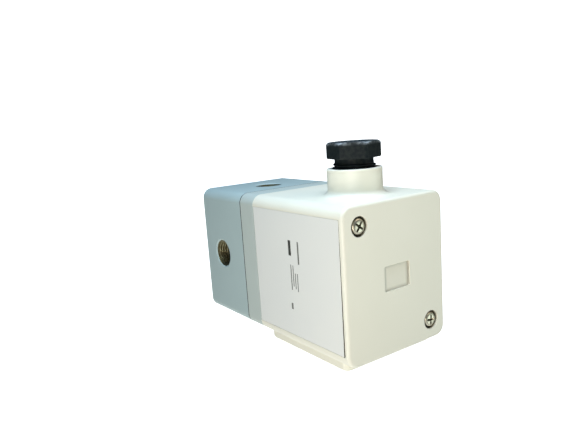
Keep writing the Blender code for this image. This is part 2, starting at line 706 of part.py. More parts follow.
def diaphragm_set():
    """Rod with its lower backing disc and stud in one, the upper backing plate and the nut."""
    base = lower_backing_bottom
    rod_bottom = valve_top + SEAT_GAP
    place = (0.0, 0.0, base)
    turned("diaphragm_rod", [
        (0.0, rod_bottom - base), (ROD_RADIUS, rod_bottom - base), (ROD_RADIUS, 0.0),
        (backing_radius, 0.0), (backing_radius, lower_backing_top - base),
        (STUD_RADIUS, lower_backing_top - base), (STUD_RADIUS, stud_top - base),
        (0.0, stud_top - base)], bright_steel, place)
    hole = STUD_RADIUS + SEAT_GAP
    ring("diaphragm_plate", hole, backing_radius, upper_backing_bottom - base,
         upper_backing_top - base, bright_steel, place)
    hex_nut("diaphragm_nut", NUT_FLATS, NUT_HEIGHT, hole, (0.0, 0.0, diaphragm_nut_bottom))


def gasket_outline(middle_inset, half_width):
    inset = middle_inset
    outer = rounded_rectangle(BODY_WIDTH / 2 - inset + half_width, BODY_DEPTH / 2 - inset + half_width,
                              EDGE_RADIUS - inset + half_width)
    inner = rounded_rectangle(BODY_WIDTH / 2 - inset - half_width, BODY_DEPTH / 2 - inset - half_width,
                              EDGE_RADIUS - inset - half_width)
    return outer, inner


def frame_ring(name, outer, inner, bottom, top, finish=None):
    """Closed band between two outlines with equal point counts."""
    shape = bmesh.new()
    loops = []
    for outline in (outer, inner):
        for height in (bottom, top):
            loops.append([shape.verts.new((x, y, height)) for x, y in outline])
    order = (loops[0], loops[1], loops[3], loops[2])
    count = len(outer)
    for first, second in zip(order, order[1:] + order[:1]):
        for step in range(count):
            after = (step + 1) % count
            shape.faces.new((first[step], first[after], second[after], second[step]))
    return finish_object(name, shape, finish)


def middle_plate():
    """Plate that clamps the diaphragm and carries the pilot block, the cover and the gasket."""
    shape = extruded(block_outline(), plate_bottom, plate_top)
    round_level_edges(shape, plate_bottom, PARTING_CHAMFER, 1)
    plate = finish_object("middle_plate", shape, cast_aluminium)
    cut(plate, rod("pilot_chamber", chamber_radius, plate_bottom - SEAT_GAP, pilot_chamber_top,
                   sides=FINE_SIDES))
    middle = GASKET_INSET + GASKET_WIDTH / 2
    outer, inner = gasket_outline(middle, GASKET_WIDTH / 2 + SEAT_GAP)
    cut(plate, frame_ring("gasket_groove", outer, inner, plate_top - GASKET_HEIGHT - SEAT_GAP,
                          plate_top + SEAT_GAP))
    outer, inner = gasket_outline(middle, GASKET_WIDTH / 2)
    frame_ring("cover_gasket", outer, inner, plate_top - GASKET_HEIGHT, plate_top, black_rubber)

    hole = BODY_SCREW_RADIUS + SEAT_GAP
    head_hole = CAP_HEAD_RADIUS + SEAT_GAP
    head_seat = plate_top - CAP_HEAD_HEIGHT - 2 * SEAT_GAP
    for number, (side_x, side_y) in enumerate(corner_sides(), 1):
        cut(plate, turned(f"cap_screw_hole_{number}", [
            (0.0, plate_bottom - SEAT_GAP), (hole, plate_bottom - SEAT_GAP), (hole, head_seat),
            (head_hole, head_seat), (head_hole, plate_top + SEAT_GAP), (0.0, plate_top + SEAT_GAP)],
            place=(side_x * body_screw_x, side_y * body_screw_y, 0.0), sides=SMALL_SIDES))
        body_screw(f"body_screw_{number}", (side_x * body_screw_x, side_y * body_screw_y,
                                            head_seat + SEAT_GAP))
    for number, (side_x, side_y) in enumerate(cover_screw_sides(), 1):
        cut(plate, rod(f"cover_screw_tap_{number}", COVER_SCREW_RADIUS + SEAT_GAP,
                       plate_top - COVER_SCREW_BITE - SEAT_GAP, plate_top + SEAT_GAP,
                       place=(side_x * column_x, side_y * column_y, 0.0), sides=SMALL_SIDES))
    for number, x in enumerate(pilot_screw_places(), 1):
        cut(plate, rod(f"pilot_screw_tap_{number}", PILOT_SCREW_RADIUS + SEAT_GAP,
                       block_top - PILOT_SCREW_REACH, plate_top + SEAT_GAP,
                       place=(x, pilot_screw_y(), 0.0), sides=SMALL_SIDES))
    for number, side in enumerate((-1, 1), 1):
        cut(plate, rod(f"bracket_screw_tap_{number}", BRACKET_SCREW_RADIUS + SEAT_GAP,
                       plate_top - BRACKET_SCREW_REACH + BRACKET_SHEET, plate_top + SEAT_GAP,
                       place=(side * BRACKET_SCREW_SPREAD, bracket_screw_y(), 0.0), sides=SMALL_SIDES))
        cut(plate, rod(f"pilot_hole_{number}", PILOT_HOLE_RADIUS, pilot_chamber_top - SEAT_GAP,
                       plate_top + SEAT_GAP, place=(side * solenoid_x, solenoid_y, 0.0), sides=8))


def body_screw(name, place):
    """Socket cap screw; its head's underside is at the object's origin."""
    reach = place[2] - (body_top - BODY_SCREW_REACH) - SEAT_GAP
    profile = [(0.0, -reach), (BODY_SCREW_RADIUS * 0.8, -reach),
               (BODY_SCREW_RADIUS, -reach + BODY_SCREW_RADIUS * 0.4), (BODY_SCREW_RADIUS, 0.0),
               (CAP_HEAD_RADIUS, 0.0), (CAP_HEAD_RADIUS, CAP_HEAD_HEIGHT), (0.0, CAP_HEAD_HEIGHT)]
    screw = turned(name, profile, bright_steel, place, sides=SMALL_SIDES)
    cut(screw, prism(name + "_socket", hexagon(CAP_SOCKET_FLATS), CAP_HEAD_HEIGHT - CAP_SOCKET_DEPTH,
                     CAP_HEAD_HEIGHT + SEAT_GAP, place=place))


def cover_screw_sides():
    return ((-1, -1), (1, 1))


def pilot_screw_y():
    return block_half_depth - PILOT_SCREW_INSET


def pilot_screw_places():
    reach = block_half_width - PILOT_SCREW_INSET
    return (-reach, reach)


def bracket_screw_y():
    return foot_front + BRACKET_SCREW_HEAD + 2 * SEAT_GAP


def pilot_block():
    """Manifold under the pilot valves, on its gasket, with a nozzle for each and a sensor seat."""
    outline = rounded_rectangle(block_half_width, block_half_depth, PILOT_BLOCK_CORNER, 3)
    gasket = prism("pilot_gasket", outline, gasket_bottom, gasket_bottom + PILOT_GASKET_HEIGHT,
                   black_rubber)
    block = prism("pilot_block", outline, block_bottom, block_top, cast_aluminium)
    place_y = pilot_screw_y()
    for number, x in enumerate(pilot_screw_places(), 1):
        hole = rod(f"pilot_screw_hole_{number}", PILOT_SCREW_RADIUS + SEAT_GAP, gasket_bottom - SEAT_GAP,
                   block_top + SEAT_GAP, place=(x, place_y, 0.0), sides=SMALL_SIDES)
        cut(block, hole)
        cut(gasket, hole)
        pan_screw(f"pilot_screw_{number}", PILOT_SCREW_HEAD, PILOT_SCREW_HEAD_HEIGHT,
                  PILOT_SCREW_RADIUS, PILOT_SCREW_REACH - SEAT_GAP, (x, place_y, block_top + SEAT_GAP))
    for number, x in enumerate((-solenoid_x, solenoid_x), 1):
        cut(block, nozzle_recess(number, x))
        hole = rod(f"nozzle_hole_{number}", PILOT_HOLE_RADIUS, gasket_bottom - SEAT_GAP,
                   nozzle_top + SEAT_GAP, place=(x, solenoid_y, 0.0), sides=8)
        cut(block, hole)
        cut(gasket, hole)
    sensor_bottom = block_top - SENSOR_RECESS
    cut(block, rod("sensor_recess", sensor_radius + SEAT_GAP, sensor_bottom - SEAT_GAP,
                   block_top + SEAT_GAP, place=(0.0, sensor_y, 0.0)))
    cut(block, rod("sensor_hole", PILOT_HOLE_RADIUS, gasket_bottom, sensor_bottom,
                   place=(0.0, sensor_y, 0.0), sides=8))
    cap = sensor_radius * 0.8
    turned("pressure_sensor", [
        (0.0, 0.0), (sensor_radius, 0.0), (sensor_radius, SENSOR_HEIGHT * 0.6),
        (cap, SENSOR_HEIGHT * 0.65), (cap, SENSOR_HEIGHT), (0.0, SENSOR_HEIGHT)],
        bright_steel, (0.0, sensor_y, sensor_bottom), sides=SMALL_SIDES)


def nozzle_recess(number, x):
    """Ring-shaped cut that leaves the nozzle standing in the recess."""
    wide = SLEEVE_FLANGE + SEAT_GAP
    high = block_top + SEAT_GAP
    return turned(f"nozzle_recess_{number}", [
        (0.0, nozzle_top), (NOZZLE_RADIUS, nozzle_top), (NOZZLE_RADIUS, recess_floor),
        (wide, recess_floor), (wide, high), (0.0, high)], place=(x, solenoid_y, 0.0), sides=SMALL_SIDES)


def pilot_valve(side_name, x):
    """Small direct-acting solenoid valve, built up along its own upright axis."""
    place = (x, solenoid_y, 0.0)
    flange_bottom = recess_floor + SEAT_GAP
    turned(f"{side_name}_sleeve", [
        (sleeve_inner, flange_bottom), (SLEEVE_FLANGE, flange_bottom),
        (SLEEVE_FLANGE, flange_bottom + SLEEVE_FLANGE_HEIGHT),
        (SLEEVE_RADIUS, flange_bottom + SLEEVE_FLANGE_HEIGHT), (SLEEVE_RADIUS, coil_top),
        (sleeve_inner, coil_top)], yellow_brass, place, sides=SMALL_SIDES)
    pocket_low = ARMATURE_LENGTH - ARMATURE_POCKET
    turned(f"{side_name}_armature", [
        (0.0, 0.0), (armature_radius, 0.0), (armature_radius, ARMATURE_LENGTH),
        (ARMATURE_POCKET_RADIUS, ARMATURE_LENGTH), (ARMATURE_POCKET_RADIUS, pocket_low),
        (0.0, pocket_low)], bright_steel, (x, solenoid_y, armature_bottom), sides=SMALL_SIDES)
    coil_spring(f"{side_name}_return_spring", RETURN_SPRING_RADIUS, RETURN_SPRING_WIRE,
                armature_bottom + pocket_low + SEAT_GAP, core_bottom - SEAT_GAP,
                RETURN_SPRING_TURNS, place, 7)
    turned(f"{side_name}_core", [
        (0.0, core_bottom), (armature_radius, core_bottom), (armature_radius, core_shoulder),
        (STUD_RADIUS, core_shoulder), (STUD_RADIUS, core_top), (0.0, core_top)],
        bright_steel, place, sides=SMALL_SIDES)
    groove = COIL_RADIUS - 2 * SEAT_GAP
    lip = 4 * SEAT_GAP
    turned(f"{side_name}_coil", [
        (coil_hole, coil_bottom), (COIL_RADIUS, coil_bottom), (COIL_RADIUS, coil_bottom + lip),
        (groove, coil_bottom + lip), (groove, coil_top - lip), (COIL_RADIUS, coil_top - lip),
        (COIL_RADIUS, coil_top), (coil_hole, coil_top)], dark_resin, place, sides=PLAIN_SIDES)
    yoke(f"{side_name}_yoke", place)
    hex_nut(f"{side_name}_nut", NUT_FLATS, NUT_HEIGHT, STUD_RADIUS + SEAT_GAP,
            (x, solenoid_y, core_nut_bottom))


def yoke(name, place):
    """Steel strip folded into a box frame round the coil, open to front and back."""
    middle = (yoke_bottom + yoke_top) / 2
    half_height = (yoke_top - yoke_bottom) / 2
    outline = rounded_rectangle(yoke_half, half_height, 1.5 * YOKE_SHEET, 2)
    place_middle = (place[0], place[1], middle)
    frame = prism(name, outline, -YOKE_DEPTH / 2, YOKE_DEPTH / 2, bright_steel, place_middle,
                  FACING_FRONT)
    inside = rectangle(yoke_inner_half, half_height - YOKE_SHEET)
    cut(frame, prism(name + "_inside", inside, -YOKE_DEPTH, YOKE_DEPTH, place=place_middle,
                     facing=FACING_FRONT))
    cut(frame, rod(name + "_sleeve_hole", SLEEVE_RADIUS + SEAT_GAP, yoke_bottom - SEAT_GAP, middle,
                   place=place, sides=SMALL_SIDES))
    cut(frame, rod(name + "_stud_hole", STUD_RADIUS + SEAT_GAP, middle, yoke_top + SEAT_GAP,
                   place=place, sides=SMALL_SIDES))


def board_screw_places():
    reach = board_half_width - BOARD_SCREW_INSET
    return ((-reach, board_bottom + BOARD_SCREW_INSET), (reach, board_top - BOARD_SCREW_INSET))


def board_bracket():
    """Sheet bracket: a foot on the middle plate and a back that the board is screwed to."""
    foot_bottom = plate_top + SEAT_GAP
    foot_top = foot_bottom + BRACKET_SHEET
    back_top = board_top
    half_width = board_half_width
    profile = [(foot_front, foot_bottom), (bracket_back, foot_bottom), (bracket_back, back_top),
               (bracket_front, back_top), (bracket_front, foot_top), (foot_front, foot_top)]
    shape = bmesh.new()
    start = [shape.verts.new((-half_width, y, z)) for y, z in profile]
    raised = bmesh.ops.extrude_face_region(shape, geom=[shape.faces.new(start)])
    moved = [item for item in raised["geom"] if isinstance(item, bmesh.types.BMVert)]
    bmesh.ops.translate(shape, verts=moved, vec=(2 * half_width, 0.0, 0.0))
    bracket = finish_object("board_bracket", shape, bright_steel)
    for number, side in enumerate((-1, 1), 1):
        place = (side * BRACKET_SCREW_SPREAD, bracket_screw_y(), foot_top + SEAT_GAP)
        cut(bracket, rod(f"bracket_foot_hole_{number}", BRACKET_SCREW_RADIUS + SEAT_GAP,
                         -2 * BRACKET_SHEET, BRACKET_SHEET, place=place, sides=SMALL_SIDES))
        pan_screw(f"bracket_screw_{number}", BRACKET_SCREW_HEAD, PILOT_SCREW_HEAD_HEIGHT,
                  BRACKET_SCREW_RADIUS, BRACKET_SCREW_REACH, place)
    return bracket


def circuit_board(bracket):
    """Upright board on two spacers, screwed to the bracket."""
    middle = (board_top + board_bottom) / 2
    outline = rectangle(board_half_width, (board_top - board_bottom) / 2)
    board = prism("circuit_board", outline, -board_back, -board_front, green_laminate,
                  (0.0, 0.0, middle), FACING_FRONT)
    for number, (x, height) in enumerate(board_screw_places(), 1):
        hole = rod(f"board_hole_{number}", BOARD_SCREW_RADIUS + SEAT_GAP, -inner_half_depth, 0.0,
                   place=(x, 0.0, height), facing=FACING_FRONT, sides=SMALL_SIDES)
        cut(board, hole)
        cut(bracket, hole)
        ring(f"board_spacer_{number}", BOARD_SCREW_RADIUS + SEAT_GAP, BOARD_SCREW_HEAD,
             -bracket_front + SEAT_GAP, -board_back - SEAT_GAP, yellow_brass, (x, 0.0, height),
             FACING_FRONT, SMALL_SIDES)
        pan_screw(f"board_screw_{number}", BOARD_SCREW_HEAD, PILOT_SCREW_HEAD_HEIGHT,
                  BOARD_SCREW_RADIUS, BOARD_SHEET + BOARD_STANDOFF + BRACKET_SHEET,
                  (x, board_front - SEAT_GAP, height), FACING_FRONT)


def trimmer(name, x):
    """Adjuster on the board: a square body with a slotted rotor let into its face."""
    height = board_top - trimmer_drop
    back = board_front - SEAT_GAP
    place = (x, back, height)
    half = TRIMMER_SIZE / 2
    body = prism(f"{name}_trimmer", rectangle(half, half), 0.0, TRIMMER_DEPTH, blue_plastic, place,
                 FACING_FRONT)
    well = TRIMMER_DEPTH * 0.6
    cut(body, rod(f"{name}_trimmer_well", ROTOR_RADIUS + SEAT_GAP, TRIMMER_DEPTH - well,
                  2 * TRIMMER_DEPTH, place=place, facing=FACING_FRONT, sides=PLAIN_SIDES))
    rotor = rod(f"{name}_rotor", ROTOR_RADIUS, TRIMMER_DEPTH - well + SEAT_GAP,
                TRIMMER_DEPTH - SEAT_GAP, yellow_brass, place, FACING_FRONT, PLAIN_SIDES)
    cut(rotor, prism(f"{name}_rotor_slot", rectangle(2 * ROTOR_RADIUS, ROTOR_SLOT / 2),
                     TRIMMER_DEPTH - SEAT_GAP - well / 3, 2 * TRIMMER_DEPTH, place=place,
                     facing=FACING_FRONT))


def terminal_block():
    """Row of screw terminals: a stepped strip with a screw well and a wire hole for each pole."""
    low = board_top - TERMINAL_DROP - TERMINAL_HEIGHT / 2
    back = board_front - SEAT_GAP
    step = TERMINAL_HEIGHT / 3
    profile = [(0.0, -TERMINAL_HEIGHT / 2), (TERMINAL_DEPTH, -TERMINAL_HEIGHT / 2),
               (TERMINAL_DEPTH, step / 2), (TERMINAL_DEPTH * 0.8, TERMINAL_HEIGHT / 2),
               (0.0, TERMINAL_HEIGHT / 2)]
    shape = bmesh.new()
    start = [shape.verts.new((-terminal_width / 2, -y, z)) for y, z in profile]
    raised = bmesh.ops.extrude_face_region(shape, geom=[shape.faces.new(start)])
    moved = [item for item in raised["geom"] if isinstance(item, bmesh.types.BMVert)]
    bmesh.ops.translate(shape, verts=moved, vec=(terminal_width, 0.0, 0.0))
    strip = finish_object("terminal_block", shape, green_plastic, (0.0, back, low))
    well_floor = TERMINAL_HEIGHT / 2 - 2 * terminal_head * 0.7 - SEAT_GAP
    for pole in range(TERMINAL_POLES):
        x = (pole + 0.5) * terminal_pitch - terminal_width / 2
        place = (x, back - TERMINAL_DEPTH * 0.4, low)
        hole = terminal_shank + SEAT_GAP
        well = terminal_head + SEAT_GAP
        cut(strip, turned(f"terminal_well_{pole + 1}", [
            (0.0, well_floor - terminal_head), (hole, well_floor - terminal_head),
            (hole, well_floor), (well, well_floor), (well, TERMINAL_HEIGHT), (0.0, TERMINAL_HEIGHT)],
            place=place, sides=SMALL_SIDES))
        cut(strip, rod(f"wire_hole_{pole + 1}", terminal_shank, TERMINAL_DEPTH * 0.5,
                       2 * TERMINAL_DEPTH, place=(x, back, low - step), facing=FACING_FRONT, sides=8))
        pan_screw(f"terminal_screw_{pole + 1}", terminal_head, terminal_head * 0.8,
                  terminal_shank, terminal_head - SEAT_GAP,
                  (x, place[1], low + well_floor + SEAT_GAP))


def boss_profile():
    """Gland boss: a foot sunk in the wall, a fillet, the shank and a slight lip at the mouth."""
    foot = BOSS_RADIUS + BOSS_FILLET
    profile = [(0.0, -COVER_WALL / 2), (foot, -COVER_WALL / 2)]
    steps = 5
    for step in range(steps + 1):
        angle = 0.25 * math.tau * step / steps
        profile.append((foot - BOSS_FILLET * math.sin(angle), BOSS_FILLET * (1 - math.cos(angle))))
    lip = BOSS_RADIUS + BOSS_LIP
    low = BOSS_LENGTH - BOSS_LIP_HEIGHT
    profile += [(BOSS_RADIUS, low), (lip, low + 2 * BOSS_LIP), (lip, BOSS_LENGTH - 2 * BOSS_LIP),
                (BOSS_RADIUS - BOSS_LIP, BOSS_LENGTH), (0.0, BOSS_LENGTH)]
    return profile


def pad_shape(half_depth, half_height, corner, bottom, top, fillet):
    shape = extruded(rounded_rectangle(half_height, half_depth, corner), bottom, top)
    round_level_edges(shape, top, fillet, 3)
    return shape


def cover():
    """Five-sided moulding with the gland boss, the side pad, two screw columns and its recesses."""
    shape = extruded(block_outline(), cover_bottom, cover_top)
    round_level_edges(shape, cover_top, TOP_FILLET, 3)
    shell = finish_object("cover", shape, cream_plastic)

    gland_place = (-cover_side, 0.0, gland_z)
    join(shell, turned("gland_boss", boss_profile(), place=gland_place, facing=FACING_LEFT,
                       sides=BOSS_SIDES))
    pad_low = cover_bottom + PAD_BOTTOM_INSET
    pad_high = cover_top - PAD_TOP_INSET
    pad_half_height = (pad_high - pad_low) / 2
    pad_half_depth = BODY_DEPTH / 2 - PAD_SIDE_INSET
    pad_place = (cover_side, 0.0, (pad_high + pad_low) / 2)
    join(shell, finish_object("side_pad", pad_shape(pad_half_depth, pad_half_height, PAD_CORNER,
                                                    -COVER_WALL / 2, PAD_PROUD, PAD_FILLET),
                              place=pad_place, facing=FACING_RIGHT))

    inner_radius = max(EDGE_RADIUS - COVER_WALL, COVER_WALL / 2)
    cavity = prism("cover_cavity", rounded_rectangle(inner_half_width, inner_half_depth, inner_radius, 3),
                   cover_bottom - COVER_WALL, roof_inside)
    cut(shell, cavity)
    hollow = rounded_rectangle(pad_half_height - COVER_WALL, pad_half_depth - COVER_WALL,
                               PAD_CORNER, 3)
    cut(shell, prism("pad_hollow", hollow, -2 * COVER_WALL, PAD_PROUD - COVER_WALL,
                     place=pad_place, facing=FACING_RIGHT))
    for number, (side_x, side_y) in enumerate(cover_screw_sides(), 1):
        place = (side_x * column_x, side_y * column_y, 0.0)
        join(shell, rod(f"cover_column_{number}", COLUMN_RADIUS, cover_bottom,
                        cover_top - COVER_ROOF / 2, place=place))
        hole = COVER_SCREW_RADIUS + SEAT_GAP
        seat = cover_top - COUNTERBORE_DEPTH
        cut(shell, turned(f"cover_screw_hole_{number}", [
            (0.0, cover_bottom - SEAT_GAP), (hole, cover_bottom - SEAT_GAP), (hole, seat),
            (COUNTERBORE_RADIUS, seat), (COUNTERBORE_RADIUS, cover_top + SEAT_GAP),
            (0.0, cover_top + SEAT_GAP)], place=place))
        reach = seat + SEAT_GAP - plate_top + COVER_SCREW_BITE
        pan_screw(f"cover_screw_{number}", COVER_SCREW_HEAD, COVER_SCREW_HEAD_HEIGHT,
                  COVER_SCREW_RADIUS, reach, (place[0], place[1], seat + SEAT_GAP))

    cut(shell, prism("badge_recess", rectangle(BADGE_WIDTH / 2, BADGE_LENGTH / 2),
                     cover_top - BADGE_DEPTH, cover_top + SEAT_GAP))
    cut(shell, label_recess())
    cut(shell, turned("gland_bore", [
        (0.0, -2 * COVER_WALL), (CABLE_HOLE_RADIUS, -2 * COVER_WALL), (CABLE_HOLE_RADIUS, 0.0),
        (GLAND_BORE_RADIUS, 0.0), (GLAND_BORE_RADIUS, BOSS_LENGTH + SEAT_GAP),
        (0.0, BOSS_LENGTH + SEAT_GAP)], place=gland_place, facing=FACING_LEFT, sides=FINE_SIDES))


def label_half_width():
    return BODY_WIDTH / 2 - EDGE_RADIUS - LABEL_SIDE_INSET


def label_recess():
    """Shallow recess, open at the cover's bottom edge."""
    half_width = label_half_width() + SEAT_GAP
    top = cover_top - LABEL_TOP_INSET
    middle = (top + cover_bottom - SEAT_GAP) / 2
    outline = rectangle(half_width, (top - cover_bottom + SEAT_GAP) / 2)
    face = BODY_DEPTH / 2
    return prism("label_recess", outline, face - LABEL_THICKNESS - SEAT_GAP, face + SEAT_GAP,
                 place=(0.0, 0.0, middle), facing=FACING_FRONT)


def label_plate():
    """Plate flush with the cover's front; its top edge has slipped down a little at one side."""
    half_width = label_half_width()
    face = BODY_DEPTH / 2
    top = cover_top - LABEL_TOP_INSET - SEAT_GAP / 2
    outline = [(-half_width, cover_bottom), (half_width, cover_bottom),
               (half_width, top - LABEL_SLIP), (-half_width, top)]
    prism("label_plate", outline, face - LABEL_THICKNESS, face, white_film, facing=FACING_FRONT)


def cable_gland():
    """Compression gland: rubber bush, loose washer and the hollow hexagon nut half screwed in."""
    place = (-cover_side, 0.0, gland_z)
    ring("gland_bush", BUSH_HOLE_RADIUS, gland_fit_radius, bush_in, bush_out, black_rubber, place,
         FACING_LEFT)
    ring("gland_washer", WASHER_HOLE_RADIUS, gland_fit_radius, washer_in, washer_out, bright_steel,
         place, FACING_LEFT)
    chamfer = HEX_CHAMFER
    corner = HEX_FLATS / math.sqrt(3.0)
    shape = extruded(hexagon(HEX_FLATS, HEX_TURN), hex_in, hex_out)
    nut = finish_object("gland_nut", shape, black_plastic, place, FACING_LEFT)
    envelope = turned("hex_envelope", [
        (0.0, hex_in - SEAT_GAP), (corner - chamfer / 2, hex_in - SEAT_GAP),
        (corner, hex_in + chamfer / 3), (corner, hex_out - chamfer * 0.6),
        (corner - chamfer * 1.2, hex_out), (0.0, hex_out + SEAT_GAP)], place=place,
        facing=FACING_LEFT, sides=BOSS_SIDES)
    boolean(nut, envelope, "INTERSECT")
    join(nut, turned("gland_neck", [
        (0.0, nut_in), (gland_fit_radius, nut_in), (gland_fit_radius, thread_out),
        (NECK_RADIUS, thread_out + (gland_fit_radius - NECK_RADIUS) / 2),
        (NECK_RADIUS, hex_in + HEX_HEIGHT / 2), (0.0, hex_in + HEX_HEIGHT / 2)], place=place,
        facing=FACING_LEFT, sides=FINE_SIDES))
    cut(nut, rod("gland_nut_hole", GLAND_HOLE_RADIUS, nut_in - SEAT_GAP, hex_out + 2 * SEAT_GAP,
                 place=place, facing=FACING_LEFT))


def build():
    clear_scene()
    main_body()
    bottom_plug()
    supply_valve()
    diaphragm()
    diaphragm_set()
    middle_plate()
    pilot_block()
    for side_name, x in (("supply", -solenoid_x), ("exhaust", solenoid_x)):
        pilot_valve(side_name, x)
    circuit_board(board_bracket())
    trimmer("zero", -trimmer_x)
    trimmer("span", trimmer_x)
    terminal_block()
    cover()
    label_plate()
    cable_gland()


build()
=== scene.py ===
import json
import math

import bmesh
import bpy
import numpy as np
from mathutils import Matrix, Vector


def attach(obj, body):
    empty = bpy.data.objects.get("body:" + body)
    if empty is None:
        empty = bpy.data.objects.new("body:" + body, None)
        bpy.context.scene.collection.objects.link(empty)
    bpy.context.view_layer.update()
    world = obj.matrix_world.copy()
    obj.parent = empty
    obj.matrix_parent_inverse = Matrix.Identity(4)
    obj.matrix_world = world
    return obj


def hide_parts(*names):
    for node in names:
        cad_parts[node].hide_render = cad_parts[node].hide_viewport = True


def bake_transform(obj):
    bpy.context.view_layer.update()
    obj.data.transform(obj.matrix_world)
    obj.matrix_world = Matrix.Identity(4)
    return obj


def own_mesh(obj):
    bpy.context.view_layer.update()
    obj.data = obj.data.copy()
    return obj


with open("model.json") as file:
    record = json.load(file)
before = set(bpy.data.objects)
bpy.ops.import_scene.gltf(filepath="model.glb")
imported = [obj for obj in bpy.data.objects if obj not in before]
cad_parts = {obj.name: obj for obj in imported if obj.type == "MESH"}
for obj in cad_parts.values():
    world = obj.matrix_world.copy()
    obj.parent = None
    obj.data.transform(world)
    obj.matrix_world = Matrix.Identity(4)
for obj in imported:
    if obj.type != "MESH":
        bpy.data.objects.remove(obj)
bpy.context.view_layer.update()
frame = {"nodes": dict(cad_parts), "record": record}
print("frame loaded:", len(frame["nodes"]), "nodes")

mm = 0.001


# shapes: closed meshes from rings of points

def ringPiece(name, rings, loop=False):
    # rings is an array (ring, point, xyz) of closed loops. Neighbouring loops are joined by
    # four-sided faces. The two ends get a flat lid each, or with loop the last ring meets the
    # first.
    rings = np.asarray(rings, float)
    count, around = rings.shape[:2]
    start = np.arange(count if loop else count - 1)[:, None] * around
    here = (start + np.arange(around)).ravel()
    beside = (start + (np.arange(around) + 1) % around).ravel()
    total = count * around
    faces = np.stack([here, beside, (beside + around) % total, (here + around) % total], 1).tolist()
    if not loop:
        faces += [list(range(around)), list(range(total - around, total))]
    mesh = bpy.data.meshes.new(name)
    mesh.from_pydata(rings.reshape(-1, 3).tolist(), [], faces)
    tidy = bmesh.new()
    tidy.from_mesh(mesh)
    bmesh.ops.recalc_face_normals(tidy, faces=tidy.faces)
    tidy.to_mesh(mesh)
    tidy.free()
    piece = bpy.data.objects.new(name, mesh)
    bpy.context.scene.collection.objects.link(piece)
    return piece


def oblongRings(halfX, halfY, corner, height, steps):
    # Each ring is a rectangle with rounded corners: corner centre plus corner radius times
    # (cos, sin) of the angle, a quarter turn for each corner. All four sizes may change with
    # the ring.
    halfX, halfY, corner, height = (np.atleast_1d(np.asarray(v, float)) for v in
                                    np.broadcast_arrays(halfX, halfY, corner, height))
    angle = (np.arange(4)[:, None] * math.pi / 2 + np.linspace(0, math.pi / 2, steps + 1)).ravel()
    signX = np.repeat([1, -1, -1, 1], steps + 1)
    signY = np.repeat([1, 1, -1, -1], steps + 1)
    x = signX * (halfX - corner)[:, None] + corner[:, None] * np.cos(angle)
    y = signY * (halfY - corner)[:, None] + corner[:, None] * np.sin(angle)
    return np.stack([x, y, np.broadcast_to(height[:, None], x.shape)], 2)


def turnedRings(radius, along, sides, place=(0, 0, 0), facing="up"):
    # Each ring is a circle of its radius at its distance along the axis. radius may also be an
    # array (ring, angle), for a shape that changes around its axis.
    radius = np.asarray(radius, float)
    along = np.asarray(along, float)
    angle = np.arange(sides) * math.tau / sides
    radius = radius[:, None] * np.ones(sides) if radius.ndim == 1 else radius
    along = along[:, None] * np.ones(sides) if along.ndim == 1 else along
    across, over = radius * np.cos(angle), radius * np.sin(angle)
    ways = {"up": (across, over, along), "left": (-along, across, over),
            "right": (along, across, over), "front": (across, -along, over)}
    return np.stack(ways[facing], 2) + np.array(place, float)


def arc(centreA, centreB, radius, fromDegrees, toDegrees, steps):
    # points of a circle arc as (a, b) rows, centre plus radius times (cos, sin)
    angle = np.radians(np.linspace(fromDegrees, toDegrees, steps + 1))
    return np.stack([centreA + radius * np.cos(angle), centreB + radius * np.sin(angle)], 1)


def threadRadius(along, sides, base, height, pitch, start, end, fade):
    # radius of a screw thread at (distance, angle): base plus height times a triangle wave of
    # distance over pitch less the turn, its crests and roots cut flat, rising from nothing over
    # fade at both ends
    turn = np.arange(sides) / sides
    wave = 1 - np.abs(2 * ((along[:, None] / pitch - turn) % 1) - 1)
    wave = np.clip(wave * 1.5 - 0.25, 0, 1)
    strength = np.clip((along - start) / fade, 0, 1) * np.clip((end - along) / fade, 0, 1)
    return base + height * wave * strength[:, None]


def settle(piece):
    # replaces the mesh by what its modifiers make of it
    shaped = bpy.data.meshes.new_from_object(
        piece.evaluated_get(bpy.context.evaluated_depsgraph_get()))
    piece.modifiers.clear()
    piece.data = shaped
    return piece


def combine(piece, others, how):
    # joins or cuts closed solids, then drops the ones that were used
    group = bpy.data.collections.new("tools")
    for other in others:
        group.objects.link(other)
    step = piece.modifiers.new(how.lower(), "BOOLEAN")
    step.operation = how
    step.operand_type = "COLLECTION"
    step.collection = group
    step.solver = "EXACT"
    settle(piece)
    for other in others:
        bpy.data.objects.remove(other)
    bpy.data.collections.remove(group)
    return piece


def dressPiece(piece, material, replaced, degrees=32):
    # smooth faces up to that angle, flats kept flat, the finish, and the node it stands for
    mesh = piece.data
    mesh.polygons.foreach_set("use_smooth", np.ones(len(mesh.polygons), bool))
    mesh.set_sharp_from_angle(angle=math.radians(degrees))
    mesh.materials.clear()
    mesh.materials.append(material)
    mesh.polygons.foreach_set("material_index", np.zeros(len(mesh.polygons), np.int32))
    level = piece.modifiers.new("even normals", "WEIGHTED_NORMAL")
    level.keep_sharp = True
    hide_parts(replaced)
    return piece


def finishPiece(piece, material, body, replaced, degrees=32):
    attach(piece, body)
    return dressPiece(piece, material, replaced, degrees)


# finishes: procedural, on object coordinates

def linearColour(code):
    # sRGB hex to the linear colour that shaders take
    parts = np.array([int(code[i:i + 2], 16) for i in (1, 3, 5)]) / 255
    linear = np.where(parts <= 0.04045, parts / 12.92, ((parts + 0.055) / 1.055) ** 2.4)
    return (*linear.tolist(), 1.0)


def addNode(material, kind, settings=None, links=None):
    # one node, with its fields or sockets set and its sockets linked
    node = material.node_tree.nodes.new(kind)
    for key, value in (settings or {}).items():
        if isinstance(key, str) and hasattr(node, key):
            setattr(node, key, value)
        else:
            node.inputs[key].default_value = value
    for key, source in (links or {}).items():
        material.node_tree.links.new(source, node.inputs[key])
    return node


